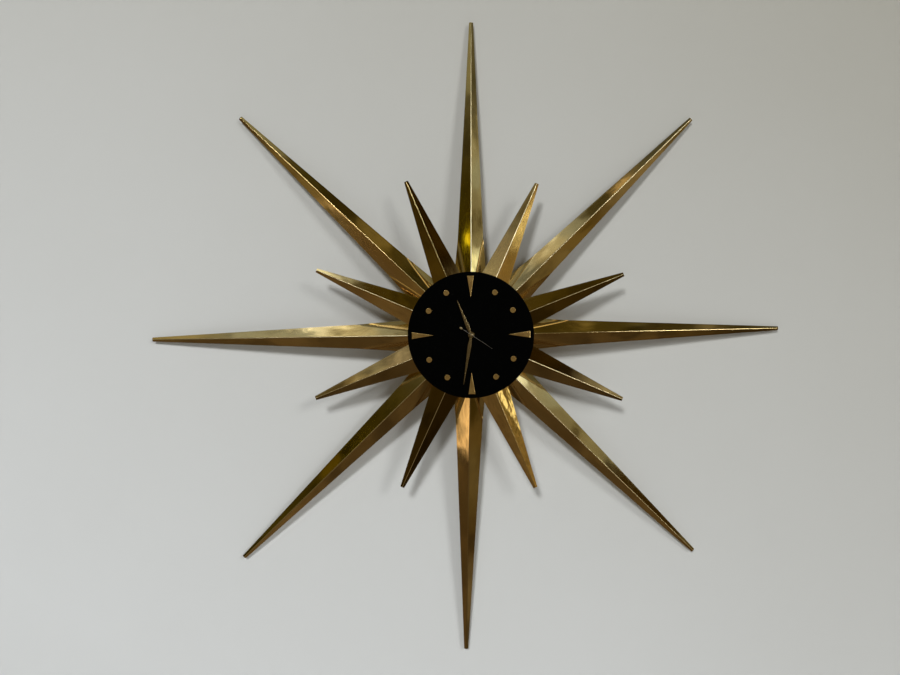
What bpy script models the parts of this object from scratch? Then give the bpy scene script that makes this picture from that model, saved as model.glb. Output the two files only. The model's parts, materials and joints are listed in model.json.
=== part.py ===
"""Sunburst wall clock: folded brass rays, a black dial and a battery movement with a balance wheel.

Everything is laid out in the clock's own frame, seen from the front: x to the right, y up and
z from the wall towards the viewer. One empty turns that frame so that z faces world -Y.
Dimensions are in millimetres and angles on the dial run clockwise from 12.
"""

import math

import bmesh
import bpy

MM = 0.001

# Overall
OVERALL_RADIUS = 460.0
GAP = 0.3  # between pieces that touch

# Depths from the wall
CAN_RIM = 51.0
FRONT_PLATE = (51.2, 52.4)
CARRIER = (52.7, 53.9)
DIAL = (61.2, 62.6)
MARKERS = (62.9, 64.1)
HOUR_HAND = (64.9, 65.5)
MINUTE_HAND = (66.6, 67.2)
SECOND_HAND = (68.3, 68.8)

# Rays: a folded sheet whose ridge runs straight from the tip to the root
SHEET = 0.7
TIP_HALF_WIDTH = 2.9
TONGUE_HALF_WIDTH = 4.0
TONGUE_END = 52.0
DIAL_EDGE = 87.0

LONG_TIP_DEPTH = 8.0
LONG_ROOT = 74.0
LONG_BEND = 6.0  # how far the section takes to flatten into the tongue
LONG_RIDGE_AT_DIAL = 50.6
LONG_SLOPE = math.tan(math.radians(30.0))
LONG_HALF_WIDTH = 18.4  # at LONG_WIDTH_RADIUS
LONG_WIDTH_RADIUS = 137.0
FOLD_AT_DIAL = 7.7
FLARE_AT_DIAL = 22.8
FLARE_DEPTH_AT_DIAL = 30.0

SHORT_RADIUS = 235.5
SHORT_TIP_DEPTH = 41.3
SHORT_ROOT = 78.0
SHORT_BEND = 9.0
SHORT_RIDGE_AT_DIAL = 57.5
SHORT_SLOPE = 0.46
SHORT_HALF_WIDTH = 20.2  # at DIAL_EDGE

# Bent by hand, so each ray points a little off its own hour line. For every long ray, clockwise
# from 12: how far it leans clockwise in degrees, and the radius where its side folds begin.
LONG_RAYS = (
    (0.4, 136.0),
    (0.8, 143.0),
    (-1.3, 141.0),
    (-1.2, 132.0),
    (0.5, 120.0),
    (0.4, 120.0),
    (-0.8, 157.0),
    (-1.5, 141.0),
)
SHORT_RAY_LEANS = (1.3, 0.9, 0.3, -0.7, 1.6, 0.3, 0.3, -0.2)

# Dial, markers and hands
DIAL_RADIUS = 87.6
DIAL_HOLE = 3.3
DIAL_ROLL = -0.75  # the dial hangs a little anticlockwise
DOT_RADIUS = 4.5
DOT_CIRCLE = 67.4
WEDGE_BASE = 82.0
WEDGE_TIP = 51.4
WEDGE_HALF_WIDTH = 5.1
HOUR_ANGLE = 337.8
MINUTE_ANGLE = 188.7
SECOND_ANGLE = 123.1
HOUR_BOSS = 4.4
MINUTE_BOSS = 3.4
SECOND_BOSS = 1.7

# Ray carrier, dial posts and nut
CARRIER_RADIUS = 66.0
POST_CIRCLE = 40.0
POST_RADIUS = 2.5
NUT_RADIUS = 7.0
NUT_HEIGHT = 2.4

# Rear can, with its chamfered rear corner, and the hanger plate behind it
CAN_RADIUS = 56.0
CAN_WALL = 0.8
CAN_CORNER = 2.0
BATTERY_BAY = (-27.5, -43.5, 27.5, -26.5)
KNOB_HOLE = 7.5
KEYHOLE_ENTRY = (38.0, 5.0)  # height of the round entry and its radius
KEYHOLE_TOP = (45.0, 2.5)  # height of the slot's round end and its radius
HANGER = (-12.0, 32.0, 12.0, 50.0)
HANGER_SHEET = 1.2

# Movement plates and the places of the arbors
PLATE_RADIUS = 40.0
PLATE_CHORD = -25.5
FRONT_PLATE_RADIUS = 50.0
MIDDLE_PLATE = (44.8, 46.0)
REAR_PLATE = (25.6, 26.8)
PILLARS = ((30.0, 17.0), (-30.0, 17.0), (0.0, -21.5))
PILLAR_RADIUS = 2.2
BUSH_END = 57.5

# Wheels and pinions
TRAIN_MODULE = 0.5
MOTION_MODULE = 0.6
CENTRE_TEETH = 48
THIRD_TEETH = 60
SECONDS_TEETH = 48
TRAIN_PINION_TEETH = 8
SECONDS_PINION_TEETH = 6
INDEX_TEETH = 25
INDEX_MODULE = 0.68
CANNON_TEETH = 10
MOTION_TEETH = 30
MOTION_PINION_TEETH = 8
HOUR_TEETH = 32

TRAIN_DISTANCE = TRAIN_MODULE * (CENTRE_TEETH + TRAIN_PINION_TEETH) / 2
THIRD_MODULE = 2 * TRAIN_DISTANCE / (THIRD_TEETH + SECONDS_PINION_TEETH)
MOTION_DISTANCE = MOTION_MODULE * (CANNON_TEETH + MOTION_TEETH) / 2
BALANCE_DISTANCE = 12.0

CENTRE = (0.0, 0.0)
THIRD_AXIS = (TRAIN_DISTANCE, 0.0)
INDEX_AXIS = (-TRAIN_DISTANCE, 0.0)
BALANCE_AXIS = (-TRAIN_DISTANCE - BALANCE_DISTANCE, 0.0)
MOTION_AXIS = (0.0, MOTION_DISTANCE)
SETTING_AXIS = (0.0, 2 * MOTION_DISTANCE)

# Where each wheel lies, as depths from the wall
HAIRSPRING = (27.9, 28.5)
BALANCE_RIM = (29.8, 31.0)
INDEX_WHEEL = (33.2, 34.0)
INDEX_PINION = (35.6, 37.4)
SECONDS_WHEEL = (36.0, 37.0)
SECONDS_PINION = (39.2, 40.8)
THIRD_WHEEL = (39.5, 40.5)
THIRD_PINION = (42.4, 44.2)
CENTRE_WHEEL = (42.8, 43.8)
CANNON_LEAVES = (46.6, 48.6)
SETTING_PINION = (46.9, 48.3)
MOTION_WHEEL = (47.0, 48.2)
MOTION_PINION = (47.6, 50.8)
HOUR_WHEEL = (49.3, 50.3)

# Arbors, tubes and what they run in
BETWEEN_PLATES = (25.9, 45.7)
RUNNING_GAP = 0.4
PIPE_PROUD = 0.6  # how far a pipe stands out of its hand
ARBOR_RADIUS = 0.8
SECONDS_ARBOR_RADIUS = 0.5
SETTING_ARBOR_RADIUS = 1.0
CENTRE_TUBE = (0.9, 1.4)  # inner and outer radius
CANNON_RADIUS = 2.0
HOUR_PIPE = (2.3, 2.9)
BUSH = (3.2, 4.2)
KNOB_RADIUS = 6.5
KNOB = (1.2, 6.0)

# Coil and battery
COIL_HEIGHT = -8.0
BATTERY_RADIUS = 7.25
BATTERY_LENGTH = 49.5
BATTERY_CAP = (2.6, 1.0)  # radius and height
BATTERY_AT = (-35.0, 37.0)  # height and depth

# Finishes: colour, roughness, metallic
FINISHES = {
    "ray_brass": ((0.62, 0.44, 0.17), 0.25, 1.0),
    "marker_brass": ((0.66, 0.47, 0.20), 0.30, 1.0),
    "hand_brass": ((0.55, 0.43, 0.22), 0.32, 1.0),
    "movement_brass": ((0.70, 0.52, 0.24), 0.38, 1.0),
    "steel": ((0.55, 0.55, 0.56), 0.35, 1.0),
    "zinc_plate": ((0.50, 0.50, 0.50), 0.50, 1.0),
    "dial_black": ((0.006, 0.006, 0.007), 0.55, 0.0),
    "can_black": ((0.02, 0.02, 0.02), 0.60, 0.0),
    "knob_plastic": ((0.03, 0.03, 0.03), 0.50, 0.0),
    "coil_copper": ((0.55, 0.22, 0.10), 0.45, 1.0),
    "battery_label": ((0.10, 0.16, 0.30), 0.45, 0.0),
}


# ------------------------------------------------------------------ scene and placing

for leftover in list(bpy.data.objects):
    bpy.data.objects.remove(leftover, do_unlink=True)

parts = bpy.data.collections.new("sunburst_wall_clock")
cutters = bpy.data.collections.new("cutters")
bpy.context.scene.collection.children.link(parts)
bpy.context.scene.collection.children.link(cutters)

clock = bpy.data.objects.new("clock_frame", None)
clock.rotation_euler = (math.pi / 2, 0.0, 0.0)
parts.objects.link(clock)


def make_material(name):
    colour, roughness, metallic = FINISHES[name]
    finish = bpy.data.materials.new(name)
    finish.use_nodes = True
    shader = finish.node_tree.nodes["Principled BSDF"]
    shader.inputs["Base Color"].default_value = (*colour, 1.0)
    shader.inputs["Roughness"].default_value = roughness
    shader.inputs["Metallic"].default_value = metallic
    finish.diffuse_color = (*colour, 1.0)
    return finish


materials = {name: make_material(name) for name in FINISHES}


def place(obj, finish, at=CENTRE, depth=0.0, angle=0.0):
    """Stand a piece in the clock's frame. Without a finish it is a cutter or a piece to be joined."""
    obj.parent = clock
    obj.location = (at[0] * MM, at[1] * MM, depth * MM)
    obj.rotation_euler = (0.0, 0.0, -math.radians(angle))
    if finish is None:
        cutters.objects.link(obj)
        obj.hide_render = True
        obj.display_type = "WIRE"
    else:
        parts.objects.link(obj)
        obj.data.materials.append(materials[finish])
    return obj


def shade_round(mesh):
    mesh.shade_smooth()
    mesh.set_sharp_from_angle(angle=math.radians(40.0))


# ------------------------------------------------------------------ shapes

def polar(radius, angle):
    """A point at a mathematical angle in radians."""
    return (radius * math.cos(angle), radius * math.sin(angle))


def ring(radius, steps, at=CENTRE):
    return [
        (at[0] + x, at[1] + y)
        for x, y in (polar(radius, 2 * math.pi * i / steps) for i in range(steps))
    ]


def rectangle(left, low, right, high):
    return [(left, low), (right, low), (right, high), (left, high)]


def keyhole(entry, top, steps=10):
    """A round entry hole with a narrower slot that runs up out of it to a round end."""
    entry_y, entry_radius = entry
    top_y, slot_radius = top
    meet = math.asin(slot_radius / entry_radius)
    turn = 2 * (math.pi - meet)
    outline = [
        (x, entry_y + y)
        for x, y in (
            polar(entry_radius, math.pi / 2 + meet + turn * i / steps) for i in range(steps + 1)
        )
    ]
    outline += [
        (x, top_y + y)
        for x, y in (polar(slot_radius, math.pi * i / (steps // 2)) for i in range(steps // 2 + 1))
    ]
    return outline


def gear(teeth, module, turn, root_share=0.27, tip_share=0.09, addendum=0.8, dedendum=1.2):
    """Slim straight-flanked teeth, one of them centred on the direction given by turn."""
    pitch_radius = teeth * module / 2
    tooth = 2 * math.pi / teeth
    corners = (
        (pitch_radius - dedendum * module, -root_share),
        (pitch_radius + addendum * module, -tip_share),
        (pitch_radius + addendum * module, tip_share),
        (pitch_radius - dedendum * module, root_share),
    )
    return [
        polar(radius, turn + (i + share) * tooth) for i in range(teeth) for radius, share in corners
    ]


def pinion(teeth, module, turn):
    return gear(teeth, module, turn, root_share=0.24, tip_share=0.08, addendum=0.75)


def crossings(inner, outer, arms, arm_width):
    """The windows between a wheel's arms."""
    windows = []
    steps = 4
    for i in range(arms):
        middle = 2 * math.pi * (i + 0.5) / arms
        window = []
        for radius, order in ((inner, 1), (outer, -1)):
            half = math.pi / arms - arm_width / 2 / radius
            for k in range(steps + 1):
                window.append(polar(radius, middle + order * half * (2 * k / steps - 1)))
        windows.append(window)
    return windows


def prism(name, outlines, depths, finish=None, at=CENTRE, angle=0.0):
    """A flat piece: a 2-D curve, filled on both sides and extruded, made into a welded mesh."""
    low, high = depths
    curve = bpy.data.curves.new(name, "CURVE")
    curve.dimensions = "2D"
    curve.fill_mode = "BOTH"
    curve.extrude = (high - low) / 2 * MM
    for outline in outlines:
        spline = curve.splines.new("POLY")
        spline.points.add(len(outline) - 1)
        for point, (x, y) in zip(spline.points, outline):
            point.co = (x * MM, y * MM, 0.0, 1.0)
        spline.use_cyclic_u = True
    drawn = bpy.data.objects.new(name + "_curve", curve)
    bpy.context.scene.collection.objects.link(drawn)
    evaluated = drawn.evaluated_get(bpy.context.evaluated_depsgraph_get())
    mesh = bpy.data.meshes.new_from_object(evaluated)
    bpy.data.objects.remove(drawn, do_unlink=True)
    bm = bmesh.new()
    bm.from_mesh(mesh)
    bmesh.ops.remove_doubles(bm, verts=bm.verts, dist=1e-6)
    bmesh.ops.recalc_face_normals(bm, faces=bm.faces)
    bm.to_mesh(mesh)
    bm.free()
    mesh.materials.clear()
    obj = bpy.data.objects.new(name, mesh)
    return place(obj, finish, at, (low + high) / 2, angle)


def rod(name, radius, depths, finish=None, at=CENTRE, sides=20):
    low, high = depths
    mesh = bpy.data.meshes.new(name)
    bm = bmesh.new()
    bmesh.ops.create_cone(
        bm,
        cap_ends=True,
        segments=sides,
        radius1=radius * MM,
        radius2=radius * MM,
        depth=(high - low) * MM,
    )
    bm.to_mesh(mesh)
    bm.free()
    shade_round(mesh)
    obj = bpy.data.objects.new(name, mesh)
    return place(obj, finish, at, (low + high) / 2)


def turned(name, profile, finish=None, at=CENTRE, steps=24, closed=False):
    """A turned piece. Its profile holds (radius, depth) pairs, down the outer side."""
    mesh = bpy.data.meshes.new(name)
    count = len(profile)
    edges = [(i, i + 1) for i in range(count - 1)]
    if closed:
        edges.append((count - 1, 0))
    mesh.from_pydata([(radius * MM, 0.0, depth * MM) for radius, depth in profile], edges, [])
    obj = bpy.data.objects.new(name, mesh)
    screw = obj.modifiers.new("turn", "SCREW")
    screw.axis = "Z"
    screw.steps = steps
    screw.render_steps = steps
    screw.use_merge_vertices = True
    screw.merge_threshold = 0.00001
    screw.use_smooth_shade = True
    return place(obj, finish, at)


def boolean(obj, operand, operation):
    step = obj.modifiers.new(operation.lower(), "BOOLEAN")
    step.operation = operation
    step.solver = "EXACT"
    step.object = operand


def join(obj, *others):
    for other in others:
        boolean(obj, other, "UNION")
    return obj


def cut(obj, *others):
    for other in others:
        boolean(obj, other, "DIFFERENCE")
    return obj


# ------------------------------------------------------------------ rays

def sheet_ray(name, points, faces, angle):
    """Half of a folded sheet, mirrored on its ridge and thickened towards the wall."""
    mesh = bpy.data.meshes.new(name)
    mesh.from_pydata([(x * MM, y * MM, z * MM) for x, y, z in points], [], faces)
    obj = bpy.data.objects.new(name, mesh)
    mirror = obj.modifiers.new("other_half", "MIRROR")
    mirror.merge_threshold = 0.00001
    thickness = obj.modifiers.new("sheet", "SOLIDIFY")
    thickness.thickness = SHEET * MM
    thickness.offset = -1.0
    thickness.use_even_offset = True
    thickness.use_quality_normals = True
    return place(obj, "ray_brass", angle=angle)


def long_ray(name, angle, shoulder):
    """Two main faces from tip to root, and steeper side facets inside the shoulder."""
    rise = (LONG_RIDGE_AT_DIAL - LONG_TIP_DEPTH) / (OVERALL_RADIUS - DIAL_EDGE)
    widening = (LONG_HALF_WIDTH - TIP_HALF_WIDTH) / (OVERALL_RADIUS - LONG_WIDTH_RADIUS)
    shoulder_half = TIP_HALF_WIDTH + widening * (OVERALL_RADIUS - shoulder)

    def ridge(radius):
        return LONG_TIP_DEPTH + rise * (OVERALL_RADIUS - radius)

    def inward(radius, at_shoulder, at_dial):
        share = (shoulder - radius) / (shoulder - DIAL_EDGE)
        return at_shoulder + share * (at_dial - at_shoulder)

    shoulder_edge = ridge(shoulder) - shoulder_half * LONG_SLOPE
    points = [
        (0.0, OVERALL_RADIUS, ridge(OVERALL_RADIUS)),
        (TIP_HALF_WIDTH, OVERALL_RADIUS, ridge(OVERALL_RADIUS) - TIP_HALF_WIDTH * LONG_SLOPE),
        (0.0, shoulder, ridge(shoulder)),
        (shoulder_half, shoulder, shoulder_edge),
    ]
    for radius in (DIAL_EDGE, LONG_ROOT):
        fold = inward(radius, shoulder_half, FOLD_AT_DIAL)
        flare = inward(radius, shoulder_half, FLARE_AT_DIAL)
        flare_depth = inward(radius, shoulder_edge, FLARE_DEPTH_AT_DIAL)
        points.append((0.0, radius, ridge(radius)))
        points.append((fold, radius, ridge(radius) - fold * LONG_SLOPE))
        points.append((flare, radius, flare_depth))
    tongue = CARRIER[0] - GAP
    for radius in (LONG_ROOT - LONG_BEND, TONGUE_END):
        points.append((0.0, radius, tongue))
        points.append((TONGUE_HALF_WIDTH, radius, tongue))
    faces = [
        (0, 2, 3, 1),
        (2, 4, 5, 3),
        (3, 5, 6),
        (4, 7, 8, 5),
        (5, 8, 9, 6),
        (7, 10, 11, 8),
        (10, 12, 13, 11),
    ]
    return sheet_ray(name, points, faces, angle)


def short_ray(name, angle):
    """A plain roof section that narrows to a tongue under the dial."""
    rise = (SHORT_RIDGE_AT_DIAL - SHORT_TIP_DEPTH) / (SHORT_RADIUS - DIAL_EDGE)
    widening = (SHORT_HALF_WIDTH - TIP_HALF_WIDTH) / (SHORT_RADIUS - DIAL_EDGE)
    points = []
    for radius in (SHORT_RADIUS, SHORT_ROOT):
        ridge = SHORT_TIP_DEPTH + rise * (SHORT_RADIUS - radius)
        half = TIP_HALF_WIDTH + widening * (SHORT_RADIUS - radius)
        points.append((0.0, radius, ridge))
        points.append((half, radius, ridge - half * SHORT_SLOPE))
    tongue = CARRIER[1] + GAP + SHEET
    for radius in (SHORT_ROOT - SHORT_BEND, TONGUE_END):
        points.append((0.0, radius, tongue))
        points.append((TONGUE_HALF_WIDTH, radius, tongue))
    faces = [(0, 2, 3, 1), (2, 4, 5, 3), (4, 6, 7, 5)]
    return sheet_ray(name, points, faces, angle)


for i, (lean, shoulder) in enumerate(LONG_RAYS):
    long_ray(f"ray_long_{i + 1}", 45.0 * i + lean, shoulder)
for i, lean in enumerate(SHORT_RAY_LEANS):
    short_ray(f"ray_short_{i + 1}", 45.0 * i + 22.5 + lean)


# ------------------------------------------------------------------ dial, markers and hands

prism("dial_plate", [ring(DIAL_RADIUS, 72), ring(DIAL_HOLE, 16)], DIAL, "dial_black")

for hour in range(1, 13):
    angle = 30.0 * hour + DIAL_ROLL
    if hour % 3:
        x = DOT_CIRCLE * math.sin(math.radians(angle))
        y = DOT_CIRCLE * math.cos(math.radians(angle))
        rod(f"hour_dot_{hour}", DOT_RADIUS, MARKERS, "marker_brass", (x, y), sides=20)
    else:
        wedge = [(-WEDGE_HALF_WIDTH, WEDGE_BASE), (0.0, WEDGE_TIP), (WEDGE_HALF_WIDTH, WEDGE_BASE)]
        prism(f"hour_wedge_{hour}", [wedge], MARKERS, "marker_brass", angle=angle)


def hand(length, boss, belly_at, belly_half, neck_half, tip_half):
    """A lancet blade that grows out of a round boss, pointing up."""
    neck = math.asin(neck_half / boss)
    steps = 18
    sweep = 2 * (math.pi - neck)
    outline = [polar(boss, math.pi / 2 + neck + sweep * i / steps) for i in range(steps + 1)]
    outline += [
        (belly_half, belly_at),
        (tip_half, length),
        (-tip_half, length),
        (-belly_half, belly_at),
    ]
    return outline


def second_hand_outline(pointer, tail, boss, weight_half_length, weight_half_width):
    """A needle through a small boss, with an oval counterweight on its tail."""
    needle = 0.4  # half widths
    point = 0.2
    steps = 8
    opening = math.asin(needle / boss)
    oval_opening = math.asin(needle / weight_half_width)
    outline = [(point, pointer), (-point, pointer)]
    for i in range(steps + 1):
        side = opening + (math.pi - 2 * opening) * i / steps
        outline.append(polar(boss, math.pi / 2 + side))
    for i in range(2 * steps + 1):
        turn = oval_opening + 2 * (math.pi - oval_opening) * i / (2 * steps)
        x = -weight_half_width * math.sin(turn)
        outline.append((x, -tail + weight_half_length * math.cos(turn)))
    for i in range(steps + 1):
        side = opening + (math.pi - 2 * opening) * i / steps
        outline.append(polar(boss, -math.pi / 2 + side))
    return outline


hour_blade = hand(51.8, HOUR_BOSS, belly_at=12.5, belly_half=2.8, neck_half=1.4, tip_half=0.5)
prism(
    "hour_hand",
    [hour_blade, ring(HOUR_PIPE[1] + GAP, 18)],
    HOUR_HAND,
    "hand_brass",
    angle=HOUR_ANGLE,
)
minute_blade = hand(69.2, MINUTE_BOSS, belly_at=16.5, belly_half=2.7, neck_half=1.1, tip_half=0.5)
prism(
    "minute_hand",
    [minute_blade, ring(CANNON_RADIUS + GAP, 18)],
    MINUTE_HAND,
    "hand_brass",
    angle=MINUTE_ANGLE,
)
needle = second_hand_outline(35.1, 17.0, SECOND_BOSS, weight_half_length=2.4, weight_half_width=1.5)
prism(
    "second_hand",
    [needle, ring(SECONDS_ARBOR_RADIUS + GAP, 12)],
    SECOND_HAND,
    "steel",
    angle=SECOND_ANGLE,
)


# ------------------------------------------------------------------ carrier, dial posts and can

bush_hole = ring(BUSH[1] + RUNNING_GAP, 18)
prism("ray_carrier", [ring(CARRIER_RADIUS, 48), bush_hole], CARRIER, "zinc_plate")

for i in range(3):
    at = polar(POST_CIRCLE, math.pi / 2 + 2 * math.pi * i / 3)
    depths = (CARRIER[1] + GAP, DIAL[0] - GAP)
    rod(f"dial_post_{i + 1}", POST_RADIUS, depths, "steel", at, sides=16)

inner_corner = CAN_CORNER + CAN_WALL / 2
can = turned(
    "rear_can",
    [
        (CAN_RADIUS, CAN_RIM),
        (CAN_RADIUS, CAN_CORNER),
        (CAN_RADIUS - CAN_CORNER, 0.0),
        (0.0, 0.0),
        (0.0, CAN_WALL),
        (CAN_RADIUS - inner_corner, CAN_WALL),
        (CAN_RADIUS - CAN_WALL, inner_corner),
        (CAN_RADIUS - CAN_WALL, CAN_RIM),
    ],
    "can_black",
    steps=48,
    closed=True,
)
through = (-5.0, 5.0)
cut(
    can,
    prism("can_battery_cutter", [rectangle(*BATTERY_BAY)], through),
    rod("can_knob_cutter", KNOB_HOLE, through, at=SETTING_AXIS),
    prism("can_keyhole_cutter", [keyhole(KEYHOLE_ENTRY, KEYHOLE_TOP)], through),
)

left, low, right, high = BATTERY_BAY
prism(
    "battery_cover",
    [rectangle(left + GAP, low + GAP, right - GAP, high - GAP)],
    (0.0, CAN_WALL),
    "can_black",
)
prism(
    "hanger_plate",
    [rectangle(*HANGER), keyhole(KEYHOLE_ENTRY, KEYHOLE_TOP)],
    (CAN_WALL + GAP, CAN_WALL + GAP + HANGER_SHEET),
    "steel",
)


# ------------------------------------------------------------------ movement plates and pillars

def plate_outline(radius, chord, steps=36):
    """A disc with its bottom cut off straight."""
    start = math.asin(chord / radius)
    sweep = math.pi - 2 * start
    return [polar(radius, start + sweep * i / steps) for i in range(steps + 1)]


def pivot_holes(*places):
    return [ring(radius, 12, at) for at, radius in places]


pillar_holes = [(at, PILLAR_RADIUS + GAP) for at in PILLARS]
train_holes = [(at, ARBOR_RADIUS + GAP) for at in (THIRD_AXIS, INDEX_AXIS, BALANCE_AXIS)]
motion_hole = (MOTION_AXIS, ARBOR_RADIUS + RUNNING_GAP)
setting_hole = (SETTING_AXIS, SETTING_ARBOR_RADIUS + GAP)

front_plate = prism(
    "front_plate",
    [ring(FRONT_PLATE_RADIUS, 48)] + pivot_holes(motion_hole),
    FRONT_PLATE,
    "movement_brass",
)
join(front_plate, rod("bush_body", BUSH[1], (FRONT_PLATE[0] + GAP, BUSH_END)))
cut(front_plate, rod("bush_bore", BUSH[0], (CAN_RIM, DIAL[0])))

prism(
    "bush_nut",
    [ring(NUT_RADIUS, 6), ring(BUSH[1] + GAP, 18)],
    (CARRIER[1] + GAP, CARRIER[1] + GAP + NUT_HEIGHT),
    "steel",
)
prism(
    "middle_plate",
    [plate_outline(PLATE_RADIUS, PLATE_CHORD)]
    + pivot_holes(
        (CENTRE, CENTRE_TUBE[1] + GAP),
        motion_hole,
        setting_hole,
        *train_holes,
        *pillar_holes,
    ),
    MIDDLE_PLATE,
    "movement_brass",
)
prism(
    "rear_plate",
    [plate_outline(PLATE_RADIUS, PLATE_CHORD)]
    + pivot_holes(
        (CENTRE, SECONDS_ARBOR_RADIUS + GAP),
        setting_hole,
        *train_holes,
        *pillar_holes,
    ),
    REAR_PLATE,
    "movement_brass",
)
for i, at in enumerate(PILLARS):
    depths = (CAN_WALL + RUNNING_GAP, FRONT_PLATE[0] - GAP)
    rod(f"pillar_{i + 1}", PILLAR_RADIUS, depths, "steel", at, sides=16)


# ------------------------------------------------------------------ motion work

cannon = prism(
    "cannon_pinion",
    [pinion(CANNON_TEETH, MOTION_MODULE, math.pi / 2)],
    CANNON_LEAVES,
    "steel",
)
cannon_end = MINUTE_HAND[1] + PIPE_PROUD
tube_end = CANNON_LEAVES[1] + 0.7
join(cannon, rod("cannon_pipe", CANNON_RADIUS, (CANNON_LEAVES[0] + 0.2, cannon_end), sides=16))
cut(
    cannon,
    rod("cannon_bore", CENTRE_TUBE[0], (REAR_PLATE[1], cannon_end + 1.0), sides=16),
    rod("cannon_socket", CENTRE_TUBE[1] + GAP, (REAR_PLATE[1], tube_end + GAP), sides=16),
)

motion_arbor = (MIDDLE_PLATE[0] + GAP, FRONT_PLATE[1] - GAP)
motion_wheel = prism(
    "motion_wheel",
    [gear(MOTION_TEETH, MOTION_MODULE, -math.pi / 2 + math.pi / MOTION_TEETH)],
    MOTION_WHEEL,
    "movement_brass",
    MOTION_AXIS,
)
join(
    motion_wheel,
    prism(
        "motion_pinion_teeth",
        [pinion(MOTION_PINION_TEETH, MOTION_MODULE, -math.pi / 2)],
        MOTION_PINION,
        at=MOTION_AXIS,
    ),
    rod("motion_arbor", ARBOR_RADIUS, motion_arbor, at=MOTION_AXIS, sides=12),
)

hour_wheel = prism(
    "hour_wheel",
    [gear(HOUR_TEETH, MOTION_MODULE, math.pi / 2 + math.pi / HOUR_TEETH)],
    HOUR_WHEEL,
    "movement_brass",
)
hour_end = HOUR_HAND[1] + PIPE_PROUD
join(hour_wheel, rod("hour_pipe", HOUR_PIPE[1], (HOUR_WHEEL[0] + 0.2, hour_end)))
cut(hour_wheel, rod("hour_bore", HOUR_PIPE[0], (MIDDLE_PLATE[1], hour_end + 1.0)))

setting_knob = rod("setting_knob", KNOB_RADIUS, KNOB, "knob_plastic", SETTING_AXIS, sides=24)
setting_arbor = (KNOB[1] - 1.0, SETTING_PINION[1] + 1.2)
join(
    setting_knob,
    rod("setting_arbor", SETTING_ARBOR_RADIUS, setting_arbor, at=SETTING_AXIS, sides=12),
    prism(
        "setting_pinion_teeth",
        [pinion(CANNON_TEETH, MOTION_MODULE, -math.pi / 2)],
        SETTING_PINION,
        at=SETTING_AXIS,
    ),
)


# ------------------------------------------------------------------ going train

centre_wheel = prism(
    "centre_wheel",
    [gear(CENTRE_TEETH, TRAIN_MODULE, 0.0)] + crossings(3.2, 9.4, arms=4, arm_width=1.8),
    CENTRE_WHEEL,
    "movement_brass",
)
join(centre_wheel, rod("centre_tube", CENTRE_TUBE[1], (CENTRE_WHEEL[0] + 0.2, tube_end), sides=16))
cut(centre_wheel, rod("centre_bore", CENTRE_TUBE[0], (REAR_PLATE[1], tube_end + 1.0), sides=16))

third_wheel = prism(
    "third_wheel",
    [gear(THIRD_TEETH, THIRD_MODULE, math.pi)] + crossings(3.4, 10.4, arms=4, arm_width=1.8),
    THIRD_WHEEL,
    "movement_brass",
    THIRD_AXIS,
)
join(
    third_wheel,
    rod("third_arbor", ARBOR_RADIUS, BETWEEN_PLATES, at=THIRD_AXIS, sides=12),
    prism(
        "third_pinion_teeth",
        [pinion(TRAIN_PINION_TEETH, TRAIN_MODULE, math.pi + math.pi / TRAIN_PINION_TEETH)],
        THIRD_PINION,
        at=THIRD_AXIS,
    ),
)

seconds_wheel = prism(
    "seconds_wheel",
    [gear(SECONDS_TEETH, TRAIN_MODULE, math.pi)] + crossings(3.2, 9.4, arms=4, arm_width=1.8),
    SECONDS_WHEEL,
    "movement_brass",
)
seconds_arbor = (BETWEEN_PLATES[0], SECOND_HAND[1] + 0.7)
join(
    seconds_wheel,
    rod("seconds_arbor", SECONDS_ARBOR_RADIUS, seconds_arbor, sides=12),
    prism(
        "seconds_pinion_teeth",
        [pinion(SECONDS_PINION_TEETH, THIRD_MODULE, math.pi / SECONDS_PINION_TEETH)],
        SECONDS_PINION,
    ),
)

index_teeth = gear(INDEX_TEETH, INDEX_MODULE, 0.0, root_share=0.22, tip_share=0.06)
index_wheel = prism(
    "index_wheel",
    [index_teeth] + crossings(2.8, 6.0, arms=3, arm_width=1.4),
    INDEX_WHEEL,
    "movement_brass",
    INDEX_AXIS,
)
join(
    index_wheel,
    rod("index_arbor", ARBOR_RADIUS, BETWEEN_PLATES, at=INDEX_AXIS, sides=12),
    prism(
        "index_pinion_teeth",
        [pinion(TRAIN_PINION_TEETH, TRAIN_MODULE, math.pi / TRAIN_PINION_TEETH)],
        INDEX_PINION,
        at=INDEX_AXIS,
    ),
)


# ------------------------------------------------------------------ balance, coil and battery

balance = prism(
    "balance_wheel",
    [ring(10.0, 36)] + crossings(2.4, 8.4, arms=3, arm_width=1.6),
    BALANCE_RIM,
    "movement_brass",
    BALANCE_AXIS,
)
join(
    balance,
    rod("balance_staff", ARBOR_RADIUS, BETWEEN_PLATES, at=BALANCE_AXIS, sides=12),
    rod("impulse_roller", 2.2, INDEX_WHEEL, at=BALANCE_AXIS, sides=16),
)


def spiral_band(inner, outer, turns, thickness, steps_per_turn=20):
    """The outline of a thin band wound into a flat spiral."""
    count = int(turns * steps_per_turn)

    def side(offset):
        return [
            polar(inner + (outer - inner) * i / count + offset, 2 * math.pi * i / steps_per_turn)
            for i in range(count + 1)
        ]

    return side(thickness / 2) + side(-thickness / 2)[::-1]


band = spiral_band(inner=1.6, outer=6.2, turns=3.0, thickness=0.3)
prism("hairspring", [band], HAIRSPRING, "steel", BALANCE_AXIS)

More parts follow.
